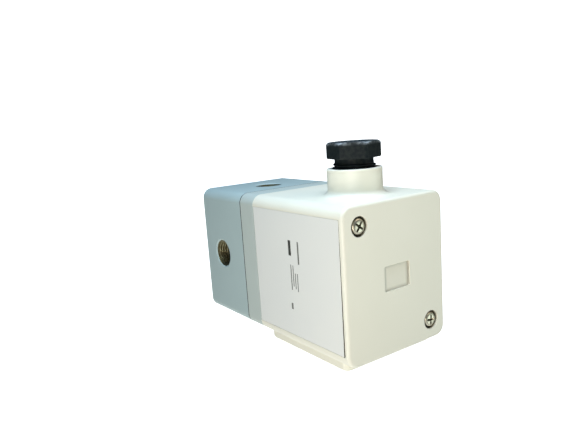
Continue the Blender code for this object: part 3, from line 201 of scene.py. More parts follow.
def newMaterial(name, settings):
    # a material with its shader set and the object's own coordinates at hand
    material = bpy.data.materials.new(name)
    material.use_nodes = True
    shader = material.node_tree.nodes["Principled BSDF"]
    for key, value in settings.items():
        shader.inputs[key].default_value = value
    place = addNode(material, "ShaderNodeTexCoord").outputs["Object"]
    return material, shader, place


def feedShader(material, shader, sources):
    for key, source in sources.items():
        material.node_tree.links.new(source, shader.inputs[key])


def twoTones(material, place, size, detail, colour, shade):
    # a noise whose grain has the given size, and the two tones mixed by it
    grain = addNode(material, "ShaderNodeTexNoise", {"Scale": 1 / size, "Detail": detail},
                    {"Vector": place}).outputs["Fac"]
    tone = addNode(material, "ShaderNodeMix", {
        "data_type": "RGBA", 6: linearColour(colour), 7: linearColour(shade)}, {0: grain})
    return grain, tone.outputs[2]


def distanceFrom(material, place, middle, ways):
    # distance of the place from the middle, counted along the ways that are 1
    away = addNode(material, "ShaderNodeVectorMath", {"operation": "SUBTRACT", 1: middle},
                   {0: place})
    flat = addNode(material, "ShaderNodeVectorMath", {"operation": "MULTIPLY", 1: ways},
                   {0: away.outputs["Vector"]})
    return addNode(material, "ShaderNodeVectorMath", {"operation": "LENGTH"},
                   {0: flat.outputs["Vector"]}).outputs["Value"]


def paintedCasting(name, values):
    # sprayed enamel on a die casting: even pale grey, satin, with a faint orange peel of 0.9 mm.
    # Inside the outline, in the tapped and bored places, the metal is bare, dull and a little
    # brown. Along the joint between the two castings a fine dark line is painted, as painted shade
    # in the gap.
    material, shader, place = newMaterial(name, {"Roughness": 0.42, "IOR": 1.5})
    paint = twoTones(material, place, 14 * mm, 3.0, values["paint"], values["drift"])[1]
    metal = twoTones(material, place, 0.6 * mm, 3.0, values["metal"], values["dull"])[1]
    # depth below the side faces: the length of (x, y) past the corner centres, less the corner
    # radius
    size = addNode(material, "ShaderNodeVectorMath", {"operation": "ABSOLUTE"}, {0: place})
    past = addNode(material, "ShaderNodeVectorMath", {
        "operation": "SUBTRACT", 1: (values["halfX"] - values["corner"],
                                     values["halfY"] - values["corner"], 1.0)},
        {0: size.outputs["Vector"]})
    kept = addNode(material, "ShaderNodeVectorMath", {"operation": "MAXIMUM", 1: (0.0, 0.0, 0.0)},
                   {0: past.outputs["Vector"]})
    reach = addNode(material, "ShaderNodeVectorMath", {"operation": "LENGTH"},
                    {0: kept.outputs["Vector"]})
    inside = addNode(material, "ShaderNodeMath", {
        "operation": "LESS_THAN", 1: values["corner"] - values["paintDepth"]},
        {0: reach.outputs["Value"]})
    axes = addNode(material, "ShaderNodeSeparateXYZ", None, {0: place})
    raised = addNode(material, "ShaderNodeMath", {"operation": "GREATER_THAN", 1: values["floor"]},
                     {0: axes.outputs["Z"]})
    bare = addNode(material, "ShaderNodeMath", {"operation": "MULTIPLY"},
                   {0: inside.outputs[0], 1: raised.outputs[0]})
    painted = addNode(material, "ShaderNodeMix", {"data_type": "RGBA"},
                      {0: bare.outputs[0], 6: paint, 7: metal})
    # painted shade: a fine dark line along the joint between the castings, where the gap is in
    # shade
    joint = addNode(material, "ShaderNodeMath", {
        "operation": "COMPARE", 1: values["jointZ"], 2: values["jointReach"]},
        {0: axes.outputs["Z"]})
    tone = addNode(material, "ShaderNodeMix", {
        "data_type": "RGBA", 7: linearColour(values["paintedShade"])},
        {0: joint.outputs[0], 6: painted.outputs[2]})
    peel = addNode(material, "ShaderNodeTexNoise", {"Scale": 1 / (0.9 * mm), "Detail": 2.0},
                   {"Vector": place})
    relief = addNode(material, "ShaderNodeBump", {"Strength": 0.12, "Distance": 0.05 * mm},
                     {"Height": peel.outputs["Fac"]})
    gloss = addNode(material, "ShaderNodeMapRange", {"To Min": 0.38, "To Max": 0.48},
                    {"Value": peel.outputs["Fac"]})
    feedShader(material, shader, {
        "Base Color": tone.outputs[2], "Metallic": bare.outputs[0],
        "Normal": relief.outputs["Normal"], "Roughness": gloss.outputs["Result"]})
    return material


mouldingValues = {
    "colour": "#EAE6D3", "shade": "#E5E1CD", "sunkShade": "#48432F", "sunkShadeMost": 0.9,
    # screw holes of the end face: painted shade grows from one height down to another
    "sunkFrom": 104.2 * mm, "sunkTo": 103.3 * mm, "sunkX": 27.0 * mm, "sunkY": 22.5 * mm,
    # sunk oblong field: a little painted shade on its floor, more along its sides
    "fieldX": 4.9 * mm, "fieldY": 6.6 * mm, "fieldFloor": 0.06, "fieldBorder": 0.34,
    "fieldTop": 104.1 * mm,
}


def mouldedAbs(name, values):
    # moulded ABS: warm white, satin, from a spark-eroded mould whose 0.3 mm grain is drawn at
    # 0.7 mm so that it shows. The sunk places of the end face get painted shade.
    material, shader, place = newMaterial(name, {"Roughness": 0.4, "IOR": 1.53})
    plastic = twoTones(material, place, 18 * mm, 2.0, values["colour"], values["shade"])[1]
    axes = addNode(material, "ShaderNodeSeparateXYZ", None, {0: place})
    # painted shade: darker with depth in the screw holes, and in the oblong field a little on its
    # floor and more along its sides
    depth = addNode(material, "ShaderNodeMapRange", {
        "From Min": values["sunkFrom"], "From Max": values["sunkTo"], "To Max": values["sunkShadeMost"]},
        {"Value": axes.outputs["Z"]})
    alongX = addNode(material, "ShaderNodeMath", {
        "operation": "COMPARE", 1: 0.0, 2: values["sunkX"]}, {0: axes.outputs["X"]})
    alongY = addNode(material, "ShaderNodeMath", {
        "operation": "COMPARE", 1: 0.0, 2: values["sunkY"]}, {0: axes.outputs["Y"]})
    field = addNode(material, "ShaderNodeMath", {"operation": "MULTIPLY"},
                    {0: alongX.outputs[0], 1: alongY.outputs[0]})
    share = addNode(material, "ShaderNodeVectorMath", {
        "operation": "DIVIDE", 1: (values["fieldX"], values["fieldY"], 1.0)}, {0: place})
    reach = addNode(material, "ShaderNodeVectorMath", {"operation": "ABSOLUTE"},
                    {0: share.outputs["Vector"]})
    apart = addNode(material, "ShaderNodeSeparateXYZ", None, {0: reach.outputs["Vector"]})
    outer = addNode(material, "ShaderNodeMath", {"operation": "MAXIMUM"},
                    {0: apart.outputs["X"], 1: apart.outputs["Y"]})
    border = addNode(material, "ShaderNodeMapRange", {
        "From Min": 0.72, "From Max": 1.0, "To Min": values["fieldFloor"],
        "To Max": values["fieldBorder"]},
        {"Value": outer.outputs[0]})
    beyond = addNode(material, "ShaderNodeMath", {"operation": "LESS_THAN", 1: 1.1},
                     {0: outer.outputs[0]})
    under = addNode(material, "ShaderNodeMath", {"operation": "LESS_THAN", 1: values["fieldTop"]},
                    {0: axes.outputs["Z"]})
    within = addNode(material, "ShaderNodeMath", {"operation": "MULTIPLY"},
                     {0: beyond.outputs[0], 1: under.outputs[0]})
    both = addNode(material, "ShaderNodeMix", {"data_type": "FLOAT"},
                   {0: within.outputs[0], 2: depth.outputs["Result"], 3: border.outputs["Result"]})
    sunkShade = addNode(material, "ShaderNodeMath", {"operation": "MULTIPLY"},
                   {0: both.outputs[0], 1: field.outputs[0]})
    tone = addNode(material, "ShaderNodeMix", {
        "data_type": "RGBA", 7: linearColour(values["sunkShade"])}, {0: sunkShade.outputs[0], 6: plastic})
    grain = addNode(material, "ShaderNodeTexNoise", {"Scale": 1 / (0.7 * mm), "Detail": 3.0},
                    {"Vector": place})
    relief = addNode(material, "ShaderNodeBump", {"Strength": 0.1, "Distance": 0.04 * mm},
                     {"Height": grain.outputs["Fac"]})
    gloss = addNode(material, "ShaderNodeMapRange", {"To Min": 0.34, "To Max": 0.46},
                    {"Value": grain.outputs["Fac"]})
    feedShader(material, shader, {
        "Base Color": tone.outputs[2], "Normal": relief.outputs["Normal"],
        "Roughness": gloss.outputs["Result"]})
    return material


labelValues = {
    "face": "#E5E4DA", "drift": "#DFDFD8", "ink": "#37362F", "paleInk": "#6E6D65",
    "topEdgeShade": "#4B443A", "edgeFrom": -25.86 * mm, "endFrom": 101.0 * mm,
    # bars as (centre x, centre z, width, height) in mm: plain fields where a plate is printed
    "darkBars": [(-11.0, 71.7, 6.2, 1.7)],
    "paleBars": [(-9.6, 77.3, 9.0, 0.9), (1.0, 71.9, 10.4, 0.6), (0.2, 73.3, 8.6, 0.5),
                 (2.2, 74.6, 6.4, 0.5), (2.6, 76.0, 7.4, 0.5), (13.1, 71.3, 2.6, 1.2)],
}


def printedAluminium(values):
    # thin label plate, lacquered: cool white, smoother than the moulding, with plain printed bars.
    # Its top end's edge faces are painted dark, as painted shade along the top of the label.
    material, shader, place = newMaterial("lacquered_label_plate", {"Roughness": 0.32, "IOR": 1.5})
    last = twoTones(material, place, 20 * mm, 2.0, values["face"], values["drift"])[1]
    axes = addNode(material, "ShaderNodeSeparateXYZ", None, {0: place})
    for ink, bars in (("ink", "darkBars"), ("paleInk", "paleBars")):
        for x, z, width, height in values[bars]:
            insideX = addNode(material, "ShaderNodeMath", {
                "operation": "COMPARE", 1: x * mm, 2: width / 2 * mm}, {0: axes.outputs["X"]})
            insideZ = addNode(material, "ShaderNodeMath", {
                "operation": "COMPARE", 1: z * mm, 2: height / 2 * mm}, {0: axes.outputs["Z"]})
            inside = addNode(material, "ShaderNodeMath", {"operation": "MULTIPLY"},
                             {0: insideX.outputs[0], 1: insideZ.outputs[0]})
            mixed = addNode(material, "ShaderNodeMix", {
                "data_type": "RGBA", 7: linearColour(values[ink])}, {0: inside.outputs[0], 6: last})
            last = mixed.outputs[2]
    # painted shade: the edge faces at the top end of the label made dark
    behind = addNode(material, "ShaderNodeMath", {
        "operation": "GREATER_THAN", 1: values["edgeFrom"]}, {0: axes.outputs["Y"]})
    above = addNode(material, "ShaderNodeMath", {"operation": "GREATER_THAN", 1: values["endFrom"]},
                    {0: axes.outputs["Z"]})
    end = addNode(material, "ShaderNodeMath", {"operation": "MULTIPLY"},
                  {0: behind.outputs[0], 1: above.outputs[0]})
    tone = addNode(material, "ShaderNodeMix", {
        "data_type": "RGBA", 7: linearColour(values["topEdgeShade"])}, {0: end.outputs[0], 6: last})
    material.node_tree.links.new(tone.outputs[2], shader.inputs["Base Color"])
    return material


def speckled(name, colour, shade, settings, grainSize, bumpDepth):
    # two near tones in a grain of the given size, with a bump of the given depth
    material, shader, place = newMaterial(name, settings)
    grain, tone = twoTones(material, place, grainSize, 4.0, colour, shade)
    relief = addNode(material, "ShaderNodeBump", {"Strength": 0.3, "Distance": bumpDepth},
                     {"Height": grain})
    feedShader(material, shader, {"Base Color": tone, "Normal": relief.outputs["Normal"]})
    return material


paintValues = {"paint": "#B0C1BD", "drift": "#A9BAB6", "metal": "#BFB590", "dull": "#787252",
               "paintedShade": "#3A3D39", "halfX": 30 * mm, "halfY": 26 * mm, "corner": 4.5 * mm,
               "paintDepth": 0.5 * mm, "floor": 0.4 * mm, "jointZ": 35.6 * mm,
               "jointReach": 0.26 * mm}
bodyPaint = paintedCasting("sprayed_enamel_casting", paintValues)
platePaint = paintedCasting("sprayed_enamel_plate", {**paintValues, "paint": "#BCC5BC",
                                                     "drift": "#B5BEB5"})
coverPlastic = mouldedAbs("moulded_abs", mouldingValues)
labelFinish = printedAluminium(labelValues)
nylonValues = {"colour": "#0E1618", "shade": "#1B211F", "chamferHighlight": "#82888A", "glandZ": 83.05 * mm,
               "highlightReach": 9.4 * mm, "highlightMost": 10.2 * mm, "highlightLeast": 0.16,
               "highlightFrom": -49.4 * mm, "highlightTo": -50.3 * mm}


def highlitNylon(values):
    # moulded glass-filled nylon: mottled in patches of 1.3 mm, with a painted highlight in places
    # along the chamfer at the end of the head, most at its corners
    material, shader, place = newMaterial("moulded_glass_filled_nylon", {
        "Roughness": 0.5, "IOR": 1.53, "Specular IOR Level": 0.13})
    grain = addNode(material, "ShaderNodeTexNoise", {"Scale": 1 / (1.3 * mm), "Detail": 3.0},
                    {"Vector": place})
    patch = addNode(material, "ShaderNodeMapRange", {"From Min": 0.4, "From Max": 0.62},
                    {"Value": grain.outputs["Fac"]})
    highlightPatches = addNode(material, "ShaderNodeMapRange", {
        "From Min": 0.42, "From Max": 0.6, "To Min": 0.3, "To Max": 1.0},
        {"Value": grain.outputs["Fac"]})
    plastic = addNode(material, "ShaderNodeMix", {
        "data_type": "RGBA", 6: linearColour(values["colour"]), 7: linearColour(values["shade"])},
        {0: patch.outputs["Result"]})
    # painted highlight: paler along the chamfer at the end of the head, in patches
    reach = distanceFrom(material, place, (0.0, 0.0, values["glandZ"]), (0.0, 1.0, 1.0))
    outer = addNode(material, "ShaderNodeMapRange", {
        "From Min": values["highlightReach"], "From Max": values["highlightMost"],
        "To Min": values["highlightLeast"]}, {"Value": reach})
    axes = addNode(material, "ShaderNodeSeparateXYZ", None, {0: place})
    end = addNode(material, "ShaderNodeMapRange", {
        "From Min": values["highlightFrom"], "From Max": values["highlightTo"]},
        {"Value": axes.outputs["X"]})
    rim = addNode(material, "ShaderNodeMath", {"operation": "MULTIPLY"},
                  {0: outer.outputs["Result"], 1: end.outputs["Result"]})
    share = addNode(material, "ShaderNodeMath", {"operation": "MULTIPLY"},
                    {0: rim.outputs[0], 1: highlightPatches.outputs["Result"]})
    tone = addNode(material, "ShaderNodeMix", {
        "data_type": "RGBA", 7: linearColour(values["chamferHighlight"])},
        {0: share.outputs[0], 6: plastic.outputs[2]})
    relief = addNode(material, "ShaderNodeBump", {"Strength": 0.3, "Distance": 0.05 * mm},
                     {"Height": grain.outputs["Fac"]})
    feedShader(material, shader, {
        "Base Color": tone.outputs[2], "Normal": relief.outputs["Normal"]})
    return material


nylon = highlitNylon(nylonValues)
rubber = speckled("moulded_nitrile_rubber", "#141516", "#1D1E1F",
                  {"Roughness": 0.62, "IOR": 1.5}, 0.5 * mm, 0.03 * mm)
platedSteel = speckled("zinc_plated_steel", "#E2E0D5", "#C9C8BE",
                       {"Roughness": 0.42, "Metallic": 1.0}, 0.8 * mm, 0.01 * mm)
recessValues = {"x": 22.0 * mm, "y": 18.0 * mm, "reach": 2.3 * mm, "from": 102.5 * mm,
                "to": 104.27 * mm, "paintedShade": "#8F8A78", "plate": "#FDF6E8"}


def screwSteel(values):
    # zinc plated screw with painted shade in its cross recess: near the two axes, below the head's
    # top
    material = platedSteel.copy()
    material.name = "zinc_plated_screw"
    shader = material.node_tree.nodes["Principled BSDF"]
    place = addNode(material, "ShaderNodeTexCoord").outputs["Object"]
    size = addNode(material, "ShaderNodeVectorMath", {"operation": "ABSOLUTE"}, {0: place})
    reach = distanceFrom(material, size.outputs["Vector"], (values["x"], values["y"], 0.0),
                         (1.0, 1.0, 0.0))
    near = addNode(material, "ShaderNodeMath", {"operation": "LESS_THAN", 1: values["reach"]},
                   {0: reach})
    axes = addNode(material, "ShaderNodeSeparateXYZ", None, {0: place})
    middle, half = (values["from"] + values["to"]) / 2, (values["to"] - values["from"]) / 2
    level = addNode(material, "ShaderNodeMath", {"operation": "COMPARE", 1: middle, 2: half},
                    {0: axes.outputs["Z"]})
    inside = addNode(material, "ShaderNodeMath", {"operation": "MULTIPLY"},
                     {0: near.outputs[0], 1: level.outputs[0]})
    tint = addNode(material, "ShaderNodeMix", {
        "data_type": "RGBA", "blend_type": "MULTIPLY", 0: 1.0, 7: linearColour(values["plate"])},
        {6: shader.inputs["Base Color"].links[0].from_socket})
    # painted shade: the cross recess made grey-brown near the two axes, below the head's top
    tone = addNode(material, "ShaderNodeMix", {
        "data_type": "RGBA", 7: linearColour(values["paintedShade"])},
        {0: inside.outputs[0], 6: tint.outputs[2]})
    feedShader(material, shader, {"Base Color": tone.outputs[2]})
    return material


platedScrew = screwSteel(recessValues)
springSteel = speckled("drawn_spring_steel", "#B9BABC", "#8F9194",
                       {"Roughness": 0.24, "Metallic": 1.0}, 0.4 * mm, 0.005 * mm)
turnedBrass = speckled("turned_brass", "#C9A352", "#B08A3E",
                       {"Roughness": 0.3, "Metallic": 1.0}, 0.7 * mm, 0.01 * mm)
machinedAluminium = speckled("machined_aluminium", "#C4C6C8", "#B2B5B8",
                             {"Roughness": 0.36, "Metallic": 1.0}, 1.2 * mm, 0.01 * mm)
coilResin = speckled("moulded_coil_epoxy", "#22262C", "#2C3138",
                     {"Roughness": 0.5, "IOR": 1.53}, 0.7 * mm, 0.02 * mm)
laminate = speckled("solder_masked_laminate", "#0F5A32", "#14683B",
                    {"Roughness": 0.3, "IOR": 1.55}, 1.5 * mm, 0.02 * mm)
terminalPlastic = speckled("moulded_polyamide_green", "#2C7A48", "#338450",
                           {"Roughness": 0.45, "IOR": 1.53}, 0.8 * mm, 0.02 * mm)
trimmerPlastic = speckled("moulded_polyester_blue", "#2149A0", "#2A55AE",
                          {"Roughness": 0.35, "IOR": 1.57}, 0.8 * mm, 0.02 * mm)

bySlot = {"cast_body": bodyPaint, "pilot_metal": machinedAluminium, "cover_plastic": coverPlastic,
          "label_film": labelFinish, "gland_plastic": nylon, "black_rubber": rubber,
          "bright_steel": platedSteel, "brass": turnedBrass, "coil_resin": coilResin,
          "board_laminate": laminate, "terminal_plastic": terminalPlastic,
          "trimmer_plastic": trimmerPlastic}
for part in frame["record"]["subparts"]:
    node = frame["nodes"][part["node"]]
    node.data.materials.clear()
    node.data.materials.append(bySlot[part["material_slot"]])
print("materials on", len(frame["nodes"]), "carried-over nodes")


# the ported body, with its tapped ports, valve bore and passages

bodyBlock = {
    "halfX": 30.0, "halfY": 26.0, "corner": 4.5, "top": 35.45, "baseEase": 0.4, "topEase": 0.12,
    # turned bore up the middle, as (radius, height)
    "bore": [(13.2, -1.0), (13.2, 3.3), (11.5, 3.3), (11.5, 5.75), (12.4, 5.75), (12.4, 7.65),
             (11.5, 7.65), (11.5, 20.4), (6.4, 20.4), (5.7, 19.7), (5.0, 19.7), (5.0, 22.8),
             (9.0, 22.8), (9.0, 27.2), (2.7, 27.2), (2.7, 29.6), (17.0, 29.6), (17.0, 34.15),
             (21.0, 34.15), (21.0, 36.5)],
    "sidePortZ": 19.7, "sidePortDepth": 12.0, "frontPortZ": 15.7, "frontPortDepth": 11.0,
    "portMouth": 6.85, "portSink": 0.5, "threadRoot": 5.5, "threadHeight": 0.85, "pitch": 1.337,
    # how far above a port's floor its plain end stops and its thread starts, where the thread
    # stops, the step between its rings, and the countersink as (height, past the mouth)
    "plainEnd": 1.1, "threadFrom": 1.2, "threadTo": 0.6, "fade": 1.0, "threadGap": 0.05,
    "step": 0.12, "flare": [(-0.12, -0.1), (0.02, 0.25), (1.0, 0.4)],
    # passages as (from, to, place, facing): the ports to the valve bore, to the outlet chamber
    # and to the exhaust; then fine ones for the bleed air and for the diaphragm's chamber
    "passage": 1.9, "passages": [(9.2, 18.5, (0, 0, 16.34), "left"),
                                 (7.2, 18.5, (0, 0, 25.0), "right"),
                                 (5.1, 15.7, (0, -17.4, 0), "up")],
    "fine": 0.8, "finePassages": [(10.9, 17.4, (0, 0, 6.7), "front"),
                                  (26.9, 29.9, (4.5, 4.05, 0), "up")],
    "screwX": 23.0, "screwY": 11.0, "screwHole": 2.3, "screwReach": 11.5,
    "bracketX": 22.0, "bracketY": 18.0, "bracketHole": 2.0, "bracketDepth": 8.0,
}


def easedBlock(name, v, low, high, lowEase, highEase):
    # rounded rectangle drawn upwards, with a small quarter circle at each level edge
    under = arc(0, 0, lowEase, -90, 0, 4)
    over = arc(0, 0, highEase, 0, 90, 4)
    inset = np.concatenate([lowEase - under[:, 0], highEase - over[:, 0]])
    height = np.concatenate([low + lowEase + under[:, 1], high - highEase + over[:, 1]])
    return ringPiece(name, mm * oblongRings(v["halfX"] - inset, v["halfY"] - inset,
                                            v["corner"] - inset, height, 14))


def tappedPort(v, place, facing, depth):
    # tool for a tapped port: plain end, thread, then the countersink at the mouth
    sides = 96
    along = np.arange(-depth + v["threadFrom"], -v["portSink"] - v["threadGap"], v["step"])
    thread = threadRadius(along, sides, v["threadRoot"], v["threadHeight"], v["pitch"],
                          -depth + v["fade"], v["threadTo"], v["fade"])
    one = np.ones(sides)
    height, past = np.array(v["flare"]).T
    mouth = [v["portMouth"] - v["portSink"], *(v["portMouth"] + past)]
    radius = np.concatenate([np.outer([v["threadRoot"]] * 2, one), thread, np.outer(mouth, one)])
    along = np.concatenate([[-depth, -depth + v["plainEnd"]], along, [-v["portSink"], *height]])
    return ringPiece("tap", mm * turnedRings(radius, along, sides, place, facing))


def drill(radius, low, high, place, facing="up", sides=24):
    return ringPiece("drill", mm * turnedRings([radius] * 2, [low, high], sides, place, facing))


def mainBody(v):
    block = easedBlock("ported_body", v, 0.0, v["top"], v["baseEase"], v["topEase"])
    bore = np.array(v["bore"])
    cuts = [ringPiece("bore", mm * turnedRings(bore[:, 0], bore[:, 1], 96))]
    combine(block, cuts, "DIFFERENCE")
    cuts = [tappedPort(v, (-v["halfX"], 0, v["sidePortZ"]), "left", v["sidePortDepth"]),
            tappedPort(v, (v["halfX"], 0, v["sidePortZ"]), "right", v["sidePortDepth"]),
            tappedPort(v, (0, -v["halfY"], v["frontPortZ"]), "front", v["frontPortDepth"])]
    for sideX in (-1, 1):
        for sideY in (-1, 1):
            cuts.append(drill(v["screwHole"], v["top"] - v["screwReach"], v["top"] + 1,
                              (sideX * v["screwX"], sideY * v["screwY"], 0)))
            cuts.append(drill(v["bracketHole"], -1.0, v["bracketDepth"],
                              (sideX * v["bracketX"], sideY * v["bracketY"], 0), sides=32))
    combine(block, cuts, "DIFFERENCE")
    combine(block, [drill(v["passage"], *row) for row in v["passages"]], "DIFFERENCE")
    combine(block, [drill(v["fine"], *row, 12) for row in v["finePassages"]], "DIFFERENCE")
    return finishPiece(block, bodyPaint, "housing", "main_body", 30)


mainBody(bodyBlock)
print("main body made")


# the plate that clamps the diaphragm

plate = {
    "halfX": 30.0, "halfY": 26.0, "corner": 4.5, "low": 35.75, "high": 46.15, "ease": 0.12,
    "chamber": 17.0, "chamberTop": 40.75, "grooveOuter": 0.45, "grooveInner": 2.05,
    "grooveFloor": 44.65, "screwX": 23.0, "screwY": 11.0, "screwHole": 2.3, "headHole": 3.8,
    "headSeat": 41.95, "coverScrewHole": 1.8, "coverScrewFloor": 38.85, "coverScrewX": 22.0,
    "coverScrewY": 18.0,
    # more holes from above, in pairs, as (radius, floor, x, y, sides): four screws, pilot air
    "holes": [(1.6, 43.55, 11.7, 10.5, 24), (1.6, 42.15, 7.5, 18.0, 24),
              (0.8, 39.75, 8.3, -5.0, 12)],
}


def middlePlate(v):
    block = easedBlock("clamping_plate", v, v["low"], v["high"], v["ease"], v["ease"])
    inset = np.array([v["grooveOuter"], v["grooveOuter"], v["grooveInner"], v["grooveInner"]])
    height = np.array([v["grooveFloor"], v["high"] + 1, v["high"] + 1, v["grooveFloor"]])
    cuts = [drill(v["chamber"], v["low"] - 1, v["chamberTop"], (0, 0, 0), sides=96),
            ringPiece("groove", mm * oblongRings(v["halfX"] - inset, v["halfY"] - inset,
                                                 v["corner"] - inset, height, 10), loop=True)]
    for sideX in (-1, 1):
        for sideY in (-1, 1):
            hole = np.array([(v["screwHole"], v["low"] - 1), (v["screwHole"], v["headSeat"]),
                             (v["headHole"], v["headSeat"]), (v["headHole"], v["high"] + 1)])
            cuts.append(ringPiece("hole", mm * turnedRings(
                hole[:, 0], hole[:, 1], 32, (sideX * v["screwX"], sideY * v["screwY"], 0))))
        cuts.append(drill(v["coverScrewHole"], v["coverScrewFloor"], v["high"] + 1,
                          (sideX * v["coverScrewX"], sideX * v["coverScrewY"], 0)))
        for radius, floor, x, y, sides in v["holes"]:
            cuts.append(drill(radius, floor, v["high"] + 1, (sideX * x, y, 0), sides=sides))
    combine(block, cuts, "DIFFERENCE")
    return finishPiece(block, platePaint, "housing", "middle_plate", 30)


middlePlate(plate)
print("middle plate made")


# the hollow cover with its boss, pad, columns and sunk places

cover = {
    "halfX": 30.0, "halfY": 26.0, "bottom": 46.18, "top": 104.45, "corner": 4.5, "fillet": 1.3,
    "wall": 2.5, "roof": 3.0, "bottomEase": 0.12,
    "glandZ": 83.05, "bossRadius": 11.0, "bossLength": 10.5, "bossFillet": 2.4,
    "lipProud": 0.07, "lipHeight": 1.3, "lipEase": 0.35, "boreRadius": 8.9, "cableHole": 5.5,
    "threadDepth": 0.35, "threadHeight": 0.6, "threadFrom": 0.6, "pitch": 1.5, "fade": 1.0,
    "padHalfY": 23.5, "padLow": 49.65, "padHigh": 99.95, "padCorner": 3.0, "padProud": 3.2,
    "padFillet": 1.5,
    "columnX": 22.0, "columnY": 18.0, "columnRadius": 5.8, "screwHole": 1.8,
    "sinkRadius": 3.8, "sinkDepth": 2.6, "sinkEdge": 0.3,
    "badgeX": 4.9, "badgeY": 6.6, "badgeDepth": 0.9, "badgeEdge": 0.22,
    "labelX": 25.4, "labelTop": 102.55, "labelDepth": 1.1,
}


def coverMoulding(v):
    # outside: rounded rectangle drawn upwards, rolled in over the top edge by a quarter circle
    roll = arc(0, 0, v["fillet"], 0, 90, 8)
    inset = np.concatenate([[v["bottomEase"], 0.0], v["fillet"] - roll[:, 0]])
    height = np.concatenate([[v["bottom"], v["bottom"] + v["bottomEase"]],
                             v["top"] - v["fillet"] + roll[:, 1]])
    shell = ringPiece("cover_moulding", mm * oblongRings(
        v["halfX"] - inset, v["halfY"] - inset, v["corner"] - inset, height, 14))

    # boss: straight, with a concave quarter circle at its foot and a slight lip under its rim
    foot = arc(v["bossRadius"] + v["bossFillet"], v["bossFillet"] - 0.015, v["bossFillet"],
               -90, -180, 8)
    rim, ease = v["bossLength"], v["lipEase"]
    profile = np.concatenate([
        [[foot[0, 0], -1.2]], foot, [[v["bossRadius"], rim - v["lipHeight"] - 0.2]],
        [[v["bossRadius"] + v["lipProud"], rim - v["lipHeight"]]],
        arc(v["bossRadius"] + v["lipProud"] - ease, rim - ease, ease, 0, 90, 4)])
    boss = ringPiece("boss", mm * turnedRings(profile[:, 0], profile[:, 1], 128,
                                              (-v["halfX"], 0, v["glandZ"]), "left"))

    # pad: rounded rectangle drawn out of the +X side, with a rolled edge
    edge = arc(0, 0, v["padFillet"], 0, 90, 6)
    inset = np.concatenate([[0.0], v["padFillet"] - edge[:, 0]])
    proud = np.concatenate([[-1.2], v["padProud"] - v["padFillet"] + edge[:, 1]])
    halfZ, middleZ = (v["padHigh"] - v["padLow"]) / 2, (v["padHigh"] + v["padLow"]) / 2

    def onSide(name, flat):
        # level rings turned so that they stand on the +X side
        return ringPiece(name, mm * np.stack([v["halfX"] + flat[..., 2], flat[..., 1],
                                              middleZ - flat[..., 0]], 2))

    pad = onSide("pad", oblongRings(halfZ - inset, v["padHalfY"] - inset,
                                    v["padCorner"] - inset * 0.9, proud, 8))
    combine(shell, [boss, pad], "UNION")

    inner = v["corner"] - v["wall"]
    roofInside = v["top"] - v["roof"]
    cavity = ringPiece("cavity", mm * oblongRings(
        v["halfX"] - v["wall"], v["halfY"] - v["wall"], inner,
        np.array([v["bottom"] - 2, roofInside]), 6))
    hollow = onSide("pad_hollow", oblongRings(
        halfZ - v["wall"], v["padHalfY"] - v["wall"], 2.0,
        np.array([-v["wall"] - 1, v["padProud"] - v["wall"]]), 6))
    combine(shell, [cavity, hollow], "DIFFERENCE")

    columns = [ringPiece("column", mm * turnedRings(
        [v["columnRadius"]] * 2, [v["bottom"], v["top"] - v["roof"] / 2], 48,
        (side * v["columnX"], side * v["columnY"], 0))) for side in (-1, 1)]
    combine(shell, columns, "UNION")

    # every sunk place has a small rolled edge at its mouth
    mouth = arc(v["sinkRadius"] + v["sinkEdge"], v["top"] - v["sinkEdge"] + 0.01, v["sinkEdge"],
                90, 180, 4)
    seat = v["top"] - v["sinkDepth"]
    profile = np.concatenate([[[v["sinkRadius"] + v["sinkEdge"], v["top"] + 1]], mouth,
                              [[v["sinkRadius"], seat], [v["screwHole"], seat],
                               [v["screwHole"], v["bottom"] - 1]]])
    cuts = [ringPiece("sink", mm * turnedRings(profile[:, 0], profile[:, 1], 64,
                                               (side * v["columnX"], side * v["columnY"], 0)))
            for side in (-1, 1)]
    bend = v["badgeEdge"]
    over = arc(bend, 0.01 - bend, bend, 90, 180, 4)
    under = arc(-bend, bend - v["badgeDepth"], bend, 0, -90, 4)
    side = np.concatenate([[[bend, 1.0]], over, under])
    cuts.append(ringPiece("badge", mm * oblongRings(
        v["badgeX"] + side[:, 0], v["badgeY"] + side[:, 0], 0.6 + side[:, 0] * 0.9,
        v["top"] + side[:, 1], 5)))
    low, high = v["bottom"] - 2, v["labelTop"]
    flat = oblongRings(v["labelX"], (high - low) / 2, 0.25, np.array([-3.0, v["labelDepth"]]), 3)
    cuts.append(ringPiece("label_seat", mm * np.stack([
        flat[..., 0], -v["halfY"] + flat[..., 2], (high + low) / 2 + flat[..., 1]], 2)))
    combine(shell, cuts, "DIFFERENCE")

    # threaded gland bore with a chamfered mouth, and the cable hole behind it
    along = np.arange(v["threadFrom"], rim - 0.45, 0.15)
    sides, root = 96, v["boreRadius"] - v["threadDepth"]
    thread = threadRadius(along, sides, root, v["threadHeight"], v["pitch"], v["threadFrom"],
                          rim, v["fade"])
    one = np.ones(sides)
    bore = ringPiece("bore", mm * turnedRings(
        np.concatenate([np.outer([v["cableHole"], v["cableHole"], root], one), thread,
                        np.outer([v["boreRadius"] + 0.3] * 2, one)]),
        np.concatenate([[-v["wall"] - 1, 0.35, 0.35], along, [rim - 0.05, rim + 1]]),
        sides, (-v["halfX"], 0, v["glandZ"]), "left"))
    combine(shell, [bore], "DIFFERENCE")
    return finishPiece(shell, coverPlastic, "housing", "cover")


coverMoulding(cover)
print("cover moulding made")


# the label let into the cover

label = {"halfX": 25.34, "low": 46.45, "highLeft": 102.3, "highRight": 101.75, "face": -26.0,
         "thickness": 0.8, "edge": 0.14}


